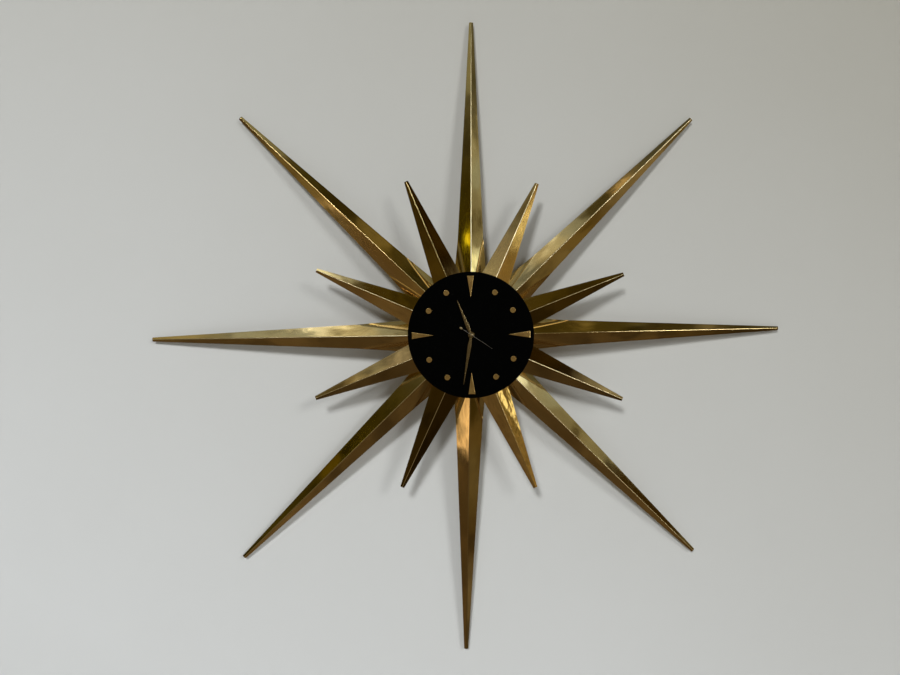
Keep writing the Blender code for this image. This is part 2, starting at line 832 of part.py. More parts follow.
# The coil faces the balance's rim and hangs by its core from the middle plate
coil_foot = MIDDLE_PLATE[0] - GAP
coil_face = BALANCE_RIM[1] + 1.4
turned(
    "drive_coil",
    [
        (0.0, coil_foot),
        (3.0, coil_foot),
        (3.0, coil_foot - 0.8),
        (1.8, coil_foot - 0.8),
        (1.8, coil_face + 4.8),
        (4.6, coil_face + 4.8),
        (4.6, coil_face),
        (0.0, coil_face),
    ],
    "coil_copper",
    (BALANCE_AXIS[0], COIL_HEIGHT),
    steps=20,
)

half_battery = BATTERY_LENGTH / 2
cap_radius, cap_height = BATTERY_CAP
battery = turned(
    "battery",
    [
        (0.0, half_battery + cap_height),
        (cap_radius, half_battery + cap_height),
        (cap_radius, half_battery),
        (BATTERY_RADIUS, half_battery),
        (BATTERY_RADIUS, -half_battery),
        (0.0, -half_battery),
    ],
    "battery_label",
    steps=24,
)
battery.rotation_euler = (0.0, math.pi / 2, 0.0)
battery.location = (0.0, BATTERY_AT[0] * MM, BATTERY_AT[1] * MM)


def contact(name, side, reach):
    """A leaf that stands up at one end of the battery, with its foot on the front plate."""
    foot = FRONT_PLATE[0] - GAP
    leaf = 0.5
    leaf_height = 18.0
    foot_length = 6.0
    half_width = 4.0
    outline = [
        (reach, foot - leaf_height),
        (reach + leaf, foot - leaf_height),
        (reach + leaf, foot - leaf),
        (reach + foot_length, foot - leaf),
        (reach + foot_length, foot),
        (reach, foot),
    ]
    obj = prism(name, [[(side * x, z) for x, z in outline]], (-half_width, half_width), "steel")
    obj.rotation_euler = (math.pi / 2, 0.0, 0.0)
    obj.location = (0.0, BATTERY_AT[0] * MM, 0.0)
    return obj


contact("contact_positive", 1.0, half_battery + cap_height + GAP)
contact("contact_negative", -1.0, half_battery + GAP)
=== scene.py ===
"""Looks of the sunburst wall clock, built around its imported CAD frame.

Shapes are drawn in the clock's own frame in millimetres: x to the right, y up, z from the wall
towards the viewer. TO_WORLD turns that frame so that z faces world -Y, in metres.
"""

import json
import math

import bmesh
import bpy
from mathutils import Matrix, Vector, noise


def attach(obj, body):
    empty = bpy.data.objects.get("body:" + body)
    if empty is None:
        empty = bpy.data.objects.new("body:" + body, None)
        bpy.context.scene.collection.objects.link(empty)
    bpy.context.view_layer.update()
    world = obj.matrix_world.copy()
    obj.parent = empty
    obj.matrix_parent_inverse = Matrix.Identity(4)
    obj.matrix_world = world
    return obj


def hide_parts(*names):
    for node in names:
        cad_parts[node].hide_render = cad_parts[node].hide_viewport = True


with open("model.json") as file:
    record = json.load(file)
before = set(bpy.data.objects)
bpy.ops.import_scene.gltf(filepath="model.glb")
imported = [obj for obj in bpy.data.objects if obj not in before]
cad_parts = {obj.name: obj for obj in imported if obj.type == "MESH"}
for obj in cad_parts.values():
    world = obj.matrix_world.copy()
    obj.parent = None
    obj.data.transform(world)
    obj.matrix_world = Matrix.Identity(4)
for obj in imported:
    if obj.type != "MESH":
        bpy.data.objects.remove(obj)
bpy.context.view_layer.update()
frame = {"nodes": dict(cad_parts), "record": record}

MM = 0.001
CASE = "clock_case"
TO_WORLD = Matrix.Rotation(math.pi / 2, 4, "X")

# Depths from the wall, and sizes: the CAD's own, or a little inside them
CAN_RIM = 51.0
CARRIER = (52.7, 53.9)
CARRIER_RADIUS = 66.0
CARRIER_HOLE = 4.6
POST_CIRCLE = 40.0
NUT = (7.0, 4.3, 2.5)
DIAL = (61.2, 62.6)
MARKERS = (62.5, 64.1)
HOUR_HAND = (64.9, 65.8)
MINUTE_HAND = (66.6, 67.5)
SECOND_HAND = (68.3, 69.0)
SHEET = 0.7
TIP_HALF_WIDTH = 2.9
TONGUE_HALF_WIDTH = 4.0
TONGUE_END = 52.0
LONG_TONGUE = (68.0, 60.0, TONGUE_END)
SHORT_TONGUE = (69.0, 60.0, TONGUE_END)
# Between a tongue and the face of the carrier that it is riveted to
LAYER_GAP = 0.3
RIVET_CIRCLE = 59.0
DIAL_EDGE = 87.0
OVERALL_RADIUS = 460.0
LONG_TIP_RADIUS = 459.3
LONG_TIP_DEPTH = 8.0
LONG_ROOT = 74.0
LONG_RIDGE_AT_DIAL = 50.6
LONG_SLOPE = math.tan(math.radians(30.0))
LONG_HALF_WIDTH = 18.4
LONG_WIDTH_RADIUS = 137.0
FOLD_AT_DIAL = 7.7
FLARE_AT_DIAL = 22.8
FLARE_DEPTH_AT_DIAL = 30.0
SHORT_RADIUS = 235.5
SHORT_TIP_DEPTH = 41.3
SHORT_ROOT = 78.0
SHORT_RIDGE_AT_DIAL = 57.5
SHORT_SLOPE = 0.46
SHORT_HALF_WIDTH = 20.2
# Each long ray's lean and the radius of its shoulder
LONG_RAYS = (
    (0.4, 136.0),
    (0.8, 143.0),
    (-1.3, 141.0),
    (-1.2, 132.0),
    (0.5, 120.0),
    (0.4, 120.0),
    (-0.8, 157.0),
    (-1.5, 141.0),
)
SHORT_RAY_LEANS = (1.3, 0.9, 0.3, -0.7, 1.6, 0.3, 0.3, -0.2)
# How hand work and painted shade differ from ray to ray, for those that stand out: a darker brass
# over the whole ray that is painted shade for dim reflections, small hammer waves and hairline
# grain
RAY_MARKS = {
    "long_ray_2": {"tarnish_and_painted_shade": 0.15},
    "long_ray_5": {"tarnish_and_painted_shade": 0.42},
    "short_ray_1": {"grain": 0.14},
    "short_ray_3": {"tarnish_and_painted_shade": 0.1},
    "short_ray_4": {"crumple": 0.8},
    "short_ray_5": {"tarnish_and_painted_shade": 0.6},
    "short_ray_6": {"tarnish_and_painted_shade": 0.18},
    "long_ray_7": {"crumple": 0.2},
}
USUAL_MARKS = {"tarnish_and_painted_shade": 0.0, "crumple": 0.1, "grain": 0.015}
DIAL_RADIUS = 87.6
DIAL_HOLE = 3.3
DIAL_ROUNDINGS = (0.35, 0.25)
DIAL_ROLL = -0.75
DOT_RADIUS = 3.95
DOT_CIRCLE = 67.4
# Inset and drop at each step down a dot's rim
DOT_RIM = ((0.8, 0.0), (0.6, 0.0), (0.22, 0.05), (0.05, 0.2), (0.0, 0.4))
WEDGE_BASE = 82.0
WEDGE_TIP = 51.4
WEDGE_HALF_WIDTH = 4.8
# Width of a wedge's bevel, its share more at the base's corners, its drop, and the softened edge
WEDGE_BEVEL = 0.5
WEDGE_CORNER = 1.45
WEDGE_DROP = 0.14
WEDGE_EDGE = 0.14
HOUR_ANGLE = 337.8
MINUTE_ANGLE = 188.7
SECOND_ANGLE = 123.1
HOUR_BORE = 2.92
MINUTE_BORE = 2.02
# Length, boss radius, where the belly is, and half widths at the belly, neck and tip
HOUR_BLADE = (51.8, 4.4, 12.5, 2.45, 1.4, 0.3)
MINUTE_BLADE = (69.2, 3.4, 16.5, 2.5, 1.1, 0.3)
# A blade's thickness at its edge, what its middle line adds, and that line's own flat
BLADE_EDGE = 0.16
BLADE_RISE = 0.18
BLADE_FLAT = 0.12
BOSS_PROUD = 0.1
SECOND_REACH = 35.1
COUNTERWEIGHT_AT = 17.0
COUNTERWEIGHT_STRETCH = 1.62
CAN_RADIUS = 56.0
CAN_WALL = 0.8
BATTERY_BAY = (-27.5, -43.5, 27.5, -26.5)
SETTING_AXIS = (0.0, 24.0)
SETTING_PINION = (46.9, 48.3)
KNOB = (1.2, 6.0)
KNOB_HOLE = 7.5
KNOB_RADIUS = 6.25
KNOB_FLUTES = 30
FLUTE_DEPTH = 0.22
PINION_LEAVES = 10
# Radius, and share of the pitch, at each corner of a leaf
PINION_LEAF = ((2.28, -0.24), (3.45, -0.08), (3.45, 0.08), (2.28, 0.24))
KEYHOLE_ENTRY = (38.0, 5.0)
KEYHOLE_TOP = (45.0, 2.5)


# ---- node trees

class Tree:
    """Short ways to add and wire shader nodes."""

    def __init__(self, tree):
        self.tree = tree
        self.nodes = tree.nodes
        self.nodes.clear()

    def add(self, kind, *inputs, **settings):
        node = self.nodes.new("ShaderNode" + kind)
        for key, value in settings.items():
            setattr(node, key, value)
        for i, value in enumerate(inputs):
            self.feed(node.inputs[i], value)
        return node

    def feed(self, socket, value):
        if value is None:
            return
        if isinstance(value, bpy.types.NodeSocket):
            self.tree.links.new(value, socket)
        else:
            socket.default_value = value

    def named(self, node, **values):
        for key, value in values.items():
            self.feed(node.inputs[key.replace("_", " ")], value)
        return node

    def math(self, operation, a, b=None, c=None, clamp=False):
        return self.add("Math", a, b, c, operation=operation, use_clamp=clamp).outputs[0]

    def vector(self, operation, a, b=None):
        return self.add("VectorMath", a, b, operation=operation).outputs[0]

    def stretched(self, source, scale, turn=(0.0, 0.0, 0.0)):
        node = self.add("Mapping")
        return self.named(node, Vector=source, Scale=scale, Rotation=turn).outputs[0]

    def noise(self, vector, scale, detail=3.0, rough=0.5, seed=None):
        kind = "3D" if seed is None else "4D"
        node = self.add("TexNoise", noise_dimensions=kind)
        self.named(node, Vector=vector, Scale=scale, Detail=detail, Roughness=rough)
        if seed is not None:
            self.feed(node.inputs["W"], seed)
        return node.outputs["Fac"]

    def ramp(self, value, *stops):
        node = self.add("ValToRGB", value)
        elements = node.color_ramp.elements
        while len(elements) > 1:
            elements.remove(elements[-1])
        for i, (at, colour) in enumerate(stops):
            element = elements[0] if i == 0 else elements.new(at)
            element.position = at
            level = colour if isinstance(colour, tuple) else (colour, colour, colour)
            element.color = (*level, 1.0)
        return node.outputs["Color"]

    def mix(self, share, first, second, blend="MIX"):
        node = self.add("Mix", data_type="RGBA", blend_type=blend)
        for name, value in (("Factor_Float", share), ("A_Color", first), ("B_Color", second)):
            socket = next(s for s in node.inputs if s.identifier == name)
            if isinstance(value, tuple) and len(value) == 3:
                value = (*value, 1.0)
            self.feed(socket, value)
        return next(s for s in node.outputs if s.identifier == "Result_Color")

    def bump(self, height, strength, distance, normal=None):
        node = self.add("Bump")
        self.named(node, Strength=strength, Distance=distance, Height=height, Normal=normal)
        return node.outputs[0]


def material(name):
    """A new material, its node tree and the place on the piece that is being shaded."""
    made = bpy.data.materials.new(name)
    made.use_nodes = True
    tree = Tree(made.node_tree)
    return made, tree, tree.add("TexCoord").outputs["Object"]


def surface(tree, **values):
    shader = tree.named(tree.add("BsdfPrincipled"), **values)
    out = tree.add("OutputMaterial")
    tree.tree.links.new(shader.outputs[0], out.inputs["Surface"])
    return shader


def sheet_brass(name, light, dark, roughness):
    """Rolled sheet brass under old lacquer: streaks, tarnish, specks, pale rubbed folds, and
    painted shade darkening whole rays.
    """
    made, t, place = material(name)
    kinds = ("seed", "rubbed", "tarnish_and_painted_shade", "crumple", "grain")
    marks = {kind: t.add("Attribute", attribute_name=kind).outputs["Fac"] for kind in kinds}
    seed = marks["seed"]
    streaks = t.noise(t.stretched(place, (900.0, 14.0, 900.0)), 1.0, 4.0, 0.6, seed)
    hairs = t.noise(t.stretched(place, (3600.0, 40.0, 3600.0)), 1.0, 2.0, 0.5, seed)
    patches = t.noise(place, 22.0, 4.0, 0.55, seed)
    waves = t.noise(t.stretched(place, (26.0, 17.0, 26.0)), 1.0, 2.0, 0.4, seed)
    ripples = t.noise(t.stretched(place, (85.0, 40.0, 85.0)), 1.0, 2.0, 0.4, seed)
    specks = t.noise(place, 620.0, 2.0, 0.5, seed)
    tarnish_and_painted_shade = t.ramp(patches, (0.35, 0.0), (0.72, 1.0))
    colour = t.mix(t.math("MULTIPLY", tarnish_and_painted_shade, 0.55), light, dark)
    colour = t.mix(t.ramp(streaks, (0.35, 0.22), (0.65, 0.0)), colour, dark)
    spot = t.ramp(specks, (0.70, 0.0), (0.76, 1.0))
    colour = t.mix(t.math("MULTIPLY", spot, 0.5), colour, (0.16, 0.09, 0.03))
    # Painted shade: the per-ray mark darkens a whole ray's brass so that its faces look as dim as
    # dark reflections
    colour = t.mix(marks["tarnish_and_painted_shade"], colour, BRASS_PAINTED_SHADE)
    nicks = t.noise(place, 310.0, 2.0, 0.6, seed)
    wear = t.math("MULTIPLY", marks["rubbed"], t.ramp(nicks, (0.28, 0.75), (0.50, 1.0)), clamp=True)
    colour = t.mix(wear, colour, BRASS_BARE)
    rough = t.math("MULTIPLY_ADD", patches, 0.04, roughness - 0.03)
    rough = t.math("MULTIPLY_ADD", streaks, 0.04, rough)
    rough = t.math("MULTIPLY_ADD", spot, 0.06, rough)
    rough = t.math("MULTIPLY_ADD", wear, 0.26, rough)
    normal = t.bump(waves, 0.11, 0.004)
    normal = t.bump(ripples, marks["crumple"], 0.0006, normal)
    normal = t.bump(streaks, marks["grain"], 0.0003, normal)
    normal = t.bump(hairs, marks["grain"], 0.0001, normal)
    surface(t, Base_Color=colour, Metallic=1.0, Roughness=rough, Normal=normal)
    return made


def brushed_metal(name, light, dark, roughness, grain=(500.0, 12.0, 500.0)):
    """Metal with a straight grain and a little dullness."""
    made, t, place = material(name)
    lines = t.noise(t.stretched(place, grain), 4.0, 3.0, 0.6)
    cloud = t.noise(place, 90.0, 3.0, 0.5)
    colour = t.mix(t.ramp(cloud, (0.3, 0.0), (0.75, 0.7)), light, dark)
    colour = t.mix(t.ramp(lines, (0.3, 0.3), (0.7, 0.0)), colour, dark)
    rough = t.math("MULTIPLY_ADD", cloud, 0.16, roughness - 0.08)
    normal = t.bump(lines, 0.15, 0.0002)
    surface(t, Base_Color=colour, Metallic=1.0, Roughness=rough, Normal=normal)
    return made


def turned_metal(name, light, dark, roughness):
    """Metal faced on a lathe: fine rings round the piece's own axis."""
    made, t, place = material(name)
    split = t.add("SeparateXYZ", place)
    square = t.math("MULTIPLY_ADD", split.outputs[0], split.outputs[0], 0.0)
    square = t.math("MULTIPLY_ADD", split.outputs[1], split.outputs[1], square)
    radius = t.math("SQRT", square)
    lane = t.add("CombineXYZ", t.math("MULTIPLY", radius, 5200.0), 0.0, 0.0).outputs[0]
    rings = t.noise(lane, 1.0, 2.0, 0.6)
    cloud = t.noise(place, 260.0, 3.0, 0.5)
    colour = t.mix(t.ramp(cloud, (0.3, 0.0), (0.75, 0.8)), light, dark)
    rough = t.math("MULTIPLY_ADD", rings, 0.14, roughness - 0.07)
    normal = t.bump(rings, 0.12, 0.0002)
    surface(t, Base_Color=colour, Metallic=1.0, Roughness=rough, Normal=normal)
    return made


def dial_paint():
    """Deep matt black paint with a fine tooth and a few grains of dust."""
    made, t, place = material("dial_paint")
    tooth = t.noise(place, 2600.0, 2.0, 0.6)
    cloud = t.noise(place, 35.0, 4.0, 0.6)
    dust = t.noise(place, 900.0, 1.0, 0.4)
    grain = t.ramp(dust, (0.74, 0.0), (0.79, 1.0))
    colour = t.mix(cloud, (0.0002, 0.0003, 0.0003), (0.0008, 0.0009, 0.0009))
    colour = t.mix(t.math("MULTIPLY", grain, 0.30), colour, (0.03, 0.03, 0.028))
    rough = t.math("MULTIPLY_ADD", cloud, 0.16, 0.50)
    normal = t.bump(tooth, 0.10, 0.0001)
    shader = surface(t, Base_Color=colour, Metallic=0.0, Roughness=rough, Normal=normal)
    shader.inputs["Specular IOR Level"].default_value = 0.025
    return made


def can_paint():
    """Matt black stove enamel, scuffed to bare steel where it rubs on the wall."""
    made, t, place = material("can_paint")
    peel = t.noise(place, 900.0, 2.0, 0.5)
    cloud = t.noise(place, 40.0, 4.0, 0.6)
    scratches = t.noise(t.stretched(place, (60.0, 900.0, 900.0), (0.0, 0.0, 0.6)), 1.0, 3.0, 0.6)
    worn = t.ramp(scratches, (0.70, 0.0), (0.74, 1.0))
    colour = t.mix(cloud, (0.010, 0.010, 0.011), (0.026, 0.025, 0.024))
    colour = t.mix(t.math("MULTIPLY", worn, 0.35), colour, (0.20, 0.20, 0.20))
    rough = t.math("MULTIPLY_ADD", cloud, 0.20, 0.42)
    normal = t.bump(peel, 0.18, 0.0003)
    surface(t, Base_Color=colour, Metallic=0.0, Roughness=rough, Normal=normal)
    return made


def moulded_plastic():
    made, t, place = material("moulded_plastic")
    grain = t.noise(place, 1800.0, 2.0, 0.5)
    cloud = t.noise(place, 120.0, 3.0, 0.5)
    colour = t.mix(cloud, (0.014, 0.014, 0.015), (0.035, 0.034, 0.033))
    rough = t.math("MULTIPLY_ADD", cloud, 0.15, 0.42)
    surface(t, Base_Color=colour, Roughness=rough, Normal=t.bump(grain, 0.15, 0.0002))
    return made


def coil_wire():
    """Enamelled wire in close turns round the coil's axis."""
    made, t, place = material("coil_wire")
    wave = t.add("TexWave", bands_direction="Y")
    t.named(wave, Vector=place, Scale=950.0, Distortion=0.4, Detail=1.0)
    turns = wave.outputs["Fac"]
    colour = t.mix(turns, (0.16, 0.045, 0.018), (0.58, 0.20, 0.08))
    surface(t, Base_Color=colour, Metallic=0.7, Roughness=0.38, Normal=t.bump(turns, 0.5, 0.0003))
    return made


def battery_sleeve():
    """A plain two-colour sleeve with no print, and bare metal at its ends."""
    made, t, place = material("battery_sleeve")
    along = t.add("SeparateXYZ", place).outputs[0]
    cloud = t.noise(place, 160.0, 3.0, 0.5)
    band = t.ramp(t.math("MULTIPLY_ADD", along, 18.0, 0.5), (0.70, 0.0), (0.71, 1.0))
    blue = t.mix(cloud, (0.03, 0.07, 0.18), (0.05, 0.10, 0.24))
    colour = t.mix(band, blue, (0.55, 0.42, 0.20))
    rough = t.math("MULTIPLY_ADD", cloud, 0.2, 0.28)
    surface(t, Base_Color=colour, Metallic=band, Roughness=rough)
    return made


BRASS_LIGHT = (0.84, 0.67, 0.34)
BRASS_BARE = (0.95, 0.84, 0.60)
# Painted shade: the dark brass that some whole rays are mixed towards, in place of dim reflections
BRASS_PAINTED_SHADE = (0.10, 0.055, 0.015)
BRASS_DARK = (0.62, 0.43, 0.17)
COARSE_GRAIN = (60.0, 8.0, 60.0)
EVEN_GRAIN = (90.0, 90.0, 90.0)
ray_brass = sheet_brass("ray_brass_sheet", BRASS_LIGHT, BRASS_DARK, 0.055)
marker_brass = turned_metal("marker_brass_faced", (0.80, 0.62, 0.30), (0.56, 0.36, 0.15), 0.22)
hand_brass = brushed_metal(
    "hand_brass_brushed", (0.35, 0.29, 0.18), (0.20, 0.15, 0.07), 0.26, COARSE_GRAIN
)
trim_brass = turned_metal("trim_brass_turned", (0.72, 0.64, 0.47), (0.54, 0.45, 0.29), 0.42)
movement_brass = brushed_metal(
    "movement_brass_grained", (0.80, 0.60, 0.28), (0.55, 0.36, 0.14), 0.34
)
steel = brushed_metal("steel_grained", (0.56, 0.56, 0.57), (0.30, 0.30, 0.31), 0.32)
dull_steel = brushed_metal("needle_steel", (0.30, 0.31, 0.32), (0.14, 0.14, 0.15), 0.40)
zinc = brushed_metal(
    "zinc_plating", (0.56, 0.57, 0.57), (0.34, 0.34, 0.33), 0.48, EVEN_GRAIN
)
dial_black = dial_paint()
can_black = can_paint()
plastic = moulded_plastic()

SLOT_MATERIALS = {
    "ray_brass": ray_brass,
    "marker_brass": marker_brass,
    "hand_brass": hand_brass,
    "movement_brass": movement_brass,
    "steel": steel,
    "zinc_plate": zinc,
    "dial_black": dial_black,
    "can_black": can_black,
    "knob_plastic": plastic,
    "coil_copper": coil_wire(),
    "battery_label": battery_sleeve(),
}


# ---- making pieces

def smooth(mesh, angle=32.0):
    mesh.shade_smooth()
    mesh.set_sharp_from_angle(angle=math.radians(angle))


def piece(name, mesh, finish, at=(0.0, 0.0, 0.0), angle=0.0):
    """An object in the clock's frame: at in millimetres, angle clockwise from 12."""
    obj = bpy.data.objects.new(name, mesh)
    bpy.context.scene.collection.objects.link(obj)
    place = Matrix.Translation(Vector(at) * MM) @ Matrix.Rotation(-math.radians(angle), 4, "Z")
    obj.matrix_world = TO_WORLD @ place
    if finish is not None:
        mesh.materials.clear()
        mesh.materials.append(finish)
    return obj


def stand_for(obj, body, slot, *nodes):
    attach(obj, body)
    if nodes:
        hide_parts(*nodes)
    return obj


def polar(radius, angle):
    return (radius * math.cos(angle), radius * math.sin(angle))


def on_dial(radius, angle):
    """A point at an angle clockwise from 12, in degrees."""
    return (radius * math.sin(math.radians(angle)), radius * math.cos(math.radians(angle)))


def ring(radius, steps, at=(0.0, 0.0)):
    points = (polar(radius, 2 * math.pi * i / steps) for i in range(steps))
    return [(at[0] + x, at[1] + y) for x, y in points]


def rounded_rectangle(left, low, right, high, radius, steps=6):
    outline = []
    corners = (
        (right - radius, high - radius),
        (left + radius, high - radius),
        (left + radius, low + radius),
        (right - radius, low + radius),
    )
    for quarter, (x, y) in enumerate(corners):
        for i in range(steps + 1):
            dx, dy = polar(radius, math.pi / 2 * (quarter + i / steps))
            outline.append((x + dx, y + dy))
    return outline


def keyhole(entry, top, steps=32):
    entry_y, entry_radius = entry
    top_y, slot_radius = top
    meet = math.asin(slot_radius / entry_radius)
    turn = 2 * (math.pi - meet)
    outline = []
    for i in range(steps + 1):
        x, y = polar(entry_radius, math.pi / 2 + meet + turn * i / steps)
        outline.append((x, entry_y + y))
    for i in range(steps // 2 + 1):
        x, y = polar(slot_radius, math.pi * i / (steps // 2))
        outline.append((x, top_y + y))
    return outline


def outward(bm, name):
    """The drawn faces as a new mesh, all of them facing out."""
    bmesh.ops.recalc_face_normals(bm, faces=bm.faces)
    mesh = bpy.data.meshes.new(name)
    bm.to_mesh(mesh)
    bm.free()
    return mesh


def prism_mesh(name, outlines, low, high, bevel=0.0):
    """A filled, extruded 2-D curve as a welded mesh, its edges rounded by bevel."""
    curve = bpy.data.curves.new(name, "CURVE")
    curve.dimensions = "2D"
    curve.fill_mode = "BOTH"
    curve.extrude = ((high - low) / 2 - bevel) * MM
    curve.bevel_depth = bevel * MM
    curve.bevel_resolution = 2
    curve.offset = -bevel * MM
    for outline in outlines:
        spline = curve.splines.new("POLY")
        spline.points.add(len(outline) - 1)
        for point, (x, y) in zip(spline.points, outline):
            point.co = (x * MM, y * MM, 0.0, 1.0)
        spline.use_cyclic_u = True
    drawn = bpy.data.objects.new(name, curve)
    bpy.context.scene.collection.objects.link(drawn)
    evaluated = drawn.evaluated_get(bpy.context.evaluated_depsgraph_get())
    mesh = bpy.data.meshes.new_from_object(evaluated)
    bpy.data.objects.remove(drawn, do_unlink=True)
    bm = bmesh.new()
    bm.from_mesh(mesh)
    bmesh.ops.remove_doubles(bm, verts=bm.verts, dist=1e-6)
    bmesh.ops.recalc_face_normals(bm, faces=bm.faces)
    bmesh.ops.translate(bm, verts=bm.verts, vec=(0.0, 0.0, (low + high) / 2 * MM))
    bm.to_mesh(mesh)
    bm.free()
    smooth(mesh)
    return mesh


def turned_mesh(name, profile, steps=96):
    """A profile of (radius, depth) pairs, down the outer side, spun round z and closed."""
    bm = bmesh.new()
    rows = []
    for radius, depth in profile:
        if radius < 1e-6:
            rows.append([bm.verts.new((0.0, 0.0, depth * MM))])
        else:
            around = ring(radius, steps)
            rows.append([bm.verts.new((x * MM, y * MM, depth * MM)) for x, y in around])
    for upper, lower in zip(rows, rows[1:]):
        for i in range(steps):
            k = (i + 1) % steps
            corners = [upper[i % len(upper)], lower[i % len(lower)]]
            corners += [lower[k % len(lower)], upper[k % len(upper)]]
            unique = list(dict.fromkeys(corners))
            if len(unique) > 2:
                bm.faces.new(unique)
    mesh = outward(bm, name)
    smooth(mesh)
    return mesh


def arc(centre, radius, start, end, steps):
    """Profile points on an arc; angles in degrees, 0 outward and 90 to the front."""
    points = []
    for i in range(steps + 1):
        x, y = polar(radius, math.radians(start + (end - start) * i / steps))
        points.append((centre[0] + x, centre[1] + y))
    return points


def joined(name, meshes):
    """Several meshes as one, each given with the matrix that places it."""
    bm = bmesh.new()
    for mesh, matrix in meshes:
        start = len(bm.verts)
        bm.from_mesh(mesh)
        bm.verts.ensure_lookup_table()
        bmesh.ops.transform(bm, matrix=matrix, verts=bm.verts[start:])
    made = bpy.data.meshes.new(name)
    bm.to_mesh(made)
    bm.free()
    smooth(made)
    return made


def carved(name, mesh, cutter_meshes):
    """The mesh less each cutter, as a plain mesh again."""
    body = piece(name + "_body", mesh, None)
    others = []
    for i, cutter_mesh in enumerate(cutter_meshes):
        other = piece(f"{name}_cutter_{i}", cutter_mesh, None)
        step = body.modifiers.new("cut", "BOOLEAN")
        step.operation = "DIFFERENCE"
        step.solver = "EXACT"
        step.object = other
        others.append(other)
    evaluated = body.evaluated_get(bpy.context.evaluated_depsgraph_get())
    made = bpy.data.meshes.new_from_object(evaluated)
    for obj in [body, *others]:
        bpy.data.objects.remove(obj, do_unlink=True)
    smooth(made)
    return made


# ---- rays

RIDGE_ROUNDING = 1.15
SHORT_ROUNDING = RIDGE_ROUNDING * 0.9
FOLD_ROUNDING = 1.2
# The least flat beside the ridge, the flat strip next to its rounding, and a fold's softening
FLAT_LEAST = 0.5
SUPPORT = 0.35
FOLD_ROOM = 2.2
FOLD_SAG = 0.25
FOLD_SHARE = 0.3
# The turned lip along each edge, and the most of the half width that it takes
LONG_LIP = 0.9
SHORT_LIP = 1.0
LIP_SHARE = 0.2
# Rows along a long ray's blade and its flare, and along a short ray
BLADE_ROWS = 36
ROW_SPREAD = 0.9
FLARE_ROWS = 16
SHORT_ROWS = 26
# Columns from the ridge to the fold, which run on into the tongue
INNER_COLUMNS = 9
# Hand work: small dents and a long bow in the sheet, with the lengths over which each changes
DENT = 0.08
DENT_LENGTHS = (30.0, 40.0)
BOW = 0.35
BOW_LENGTHS = (90.0, 130.0)
BOW_SETBACK = 0.1
SHORT_SEED = 20
EDGE_ROUNDING = 0.12
# How far the lacquer is rubbed off, by column out from the ridge; the rest is untouched
RUBBED = {0: 1.0, 1: 1.0, 2: 1.0, 3: 0.5, 9: 0.25, 10: 0.25}
# Rays whose ridges have kept more of their lacquer, and the share of the wear that they show
LESS_RUBBED = {
    "long_ray_3": 0.3,
    "long_ray_5": 0.2,
    "long_ray_8": 0.25,
    "short_ray_4": 0.2,
    "short_ray_8": 0.5,
}


def ridge_columns(slope, rounding):
    """Half of the rounded ridge: distances from the middle, and drops below the sharp ridge."""
    lean = math.atan(slope)
    columns = []
    for share in (0.0, 0.35, 0.7, 1.0):
        turn = lean * share
        x = rounding * math.sin(turn)
        drop = rounding / math.cos(lean) - rounding * math.cos(turn)
        columns.append((x, drop))
    return columns


def half_section(ridge, slope, fold, edge, edge_depth, rounding):
    """From the ridge out to one edge, as (x, z) points; the fold is softened by its own arc."""
    limit = max(fold - FOLD_ROOM * FOLD_ROUNDING, FLAT_LEAST)
    scale = min(1.0, limit / (rounding * math.sin(math.atan(slope)) + SUPPORT))
    section = [(x * scale, ridge - drop * scale) for x, drop in ridge_columns(slope, rounding)]
    start = section[-1][0]
    inner = fold - FOLD_ROUNDING * scale
    for share in (0.0, 0.34, 0.67, 1.0):
        x = start + SUPPORT * scale + (inner - start - 2 * SUPPORT * scale) * share
        section.append((x, ridge - x * slope))
    section.append((inner, ridge - inner * slope))
    fold_depth = ridge - fold * slope
    width = max(edge - fold, 1e-6)
    steep = (fold_depth - edge_depth) / width
    reach = min(FOLD_ROUNDING * scale, width * FOLD_SHARE)
    sag = FOLD_SAG * (steep - slope) * reach
    section.append((fold, fold_depth - sag))
    section.append((fold + reach, fold_depth - reach * steep))
    for share in (0.5, 1.0):
        x = fold + reach + (width - reach) * share
        section.append((x, fold_depth - (x - fold) * steep))
    return section


def sheet_mesh(name, rows, tongue_rows, seed):
    """Full rows run edge to edge; tongue rows hold only the columns inside the folds."""
    bm = bmesh.new()
    worn = []

    def add_row(half):
        left = [(-x, y, z) for x, y, z in half[:0:-1]]
        points = []
        for column in range(1 - len(half), len(half)):
            worn.append(RUBBED.get(abs(column), 0.0) * LESS_RUBBED.get(name, 1.0))
        for x, y, z in left + list(half):
            small = Vector((x / DENT_LENGTHS[0], y / DENT_LENGTHS[1], seed * 7.3))
            large = Vector((x / BOW_LENGTHS[0], y / BOW_LENGTHS[1], seed * 3.1))
            dent = DENT * noise.noise(small)
            dent += BOW * (noise.noise(large) - BOW_SETBACK)
            points.append(bm.verts.new((x * MM, y * MM, (z + dent) * MM)))
        return points

    full = [add_row(row) for row in rows]
    tongue = [add_row(row) for row in tongue_rows]
    middle = len(full[-1]) // 2
    trimmed = [full[-1][middle - INNER_COLUMNS + 1:middle + INNER_COLUMNS]]
    for strips in (full, trimmed + tongue):
        for outer, inner in zip(strips, strips[1:]):
            for i in range(len(outer) - 1):
                bm.faces.new((outer[i], inner[i], inner[i + 1], outer[i + 1]))
    mesh = outward(bm, name)
    if sum(face.normal.z * face.area for face in mesh.polygons) < 0:
        mesh.flip_normals()
    marks = {"seed": seed * 3.7, **USUAL_MARKS, **RAY_MARKS.get(name, {})}
    for kind, level in marks.items():
        mark = mesh.attributes.new(kind, "FLOAT", "POINT")
        mark.data.foreach_set("value", [level] * len(mesh.vertices))
    rubbed = mesh.attributes.new("rubbed", "FLOAT", "POINT")
    rubbed.data.foreach_set("value", worn)
    mesh.shade_smooth()
    return mesh


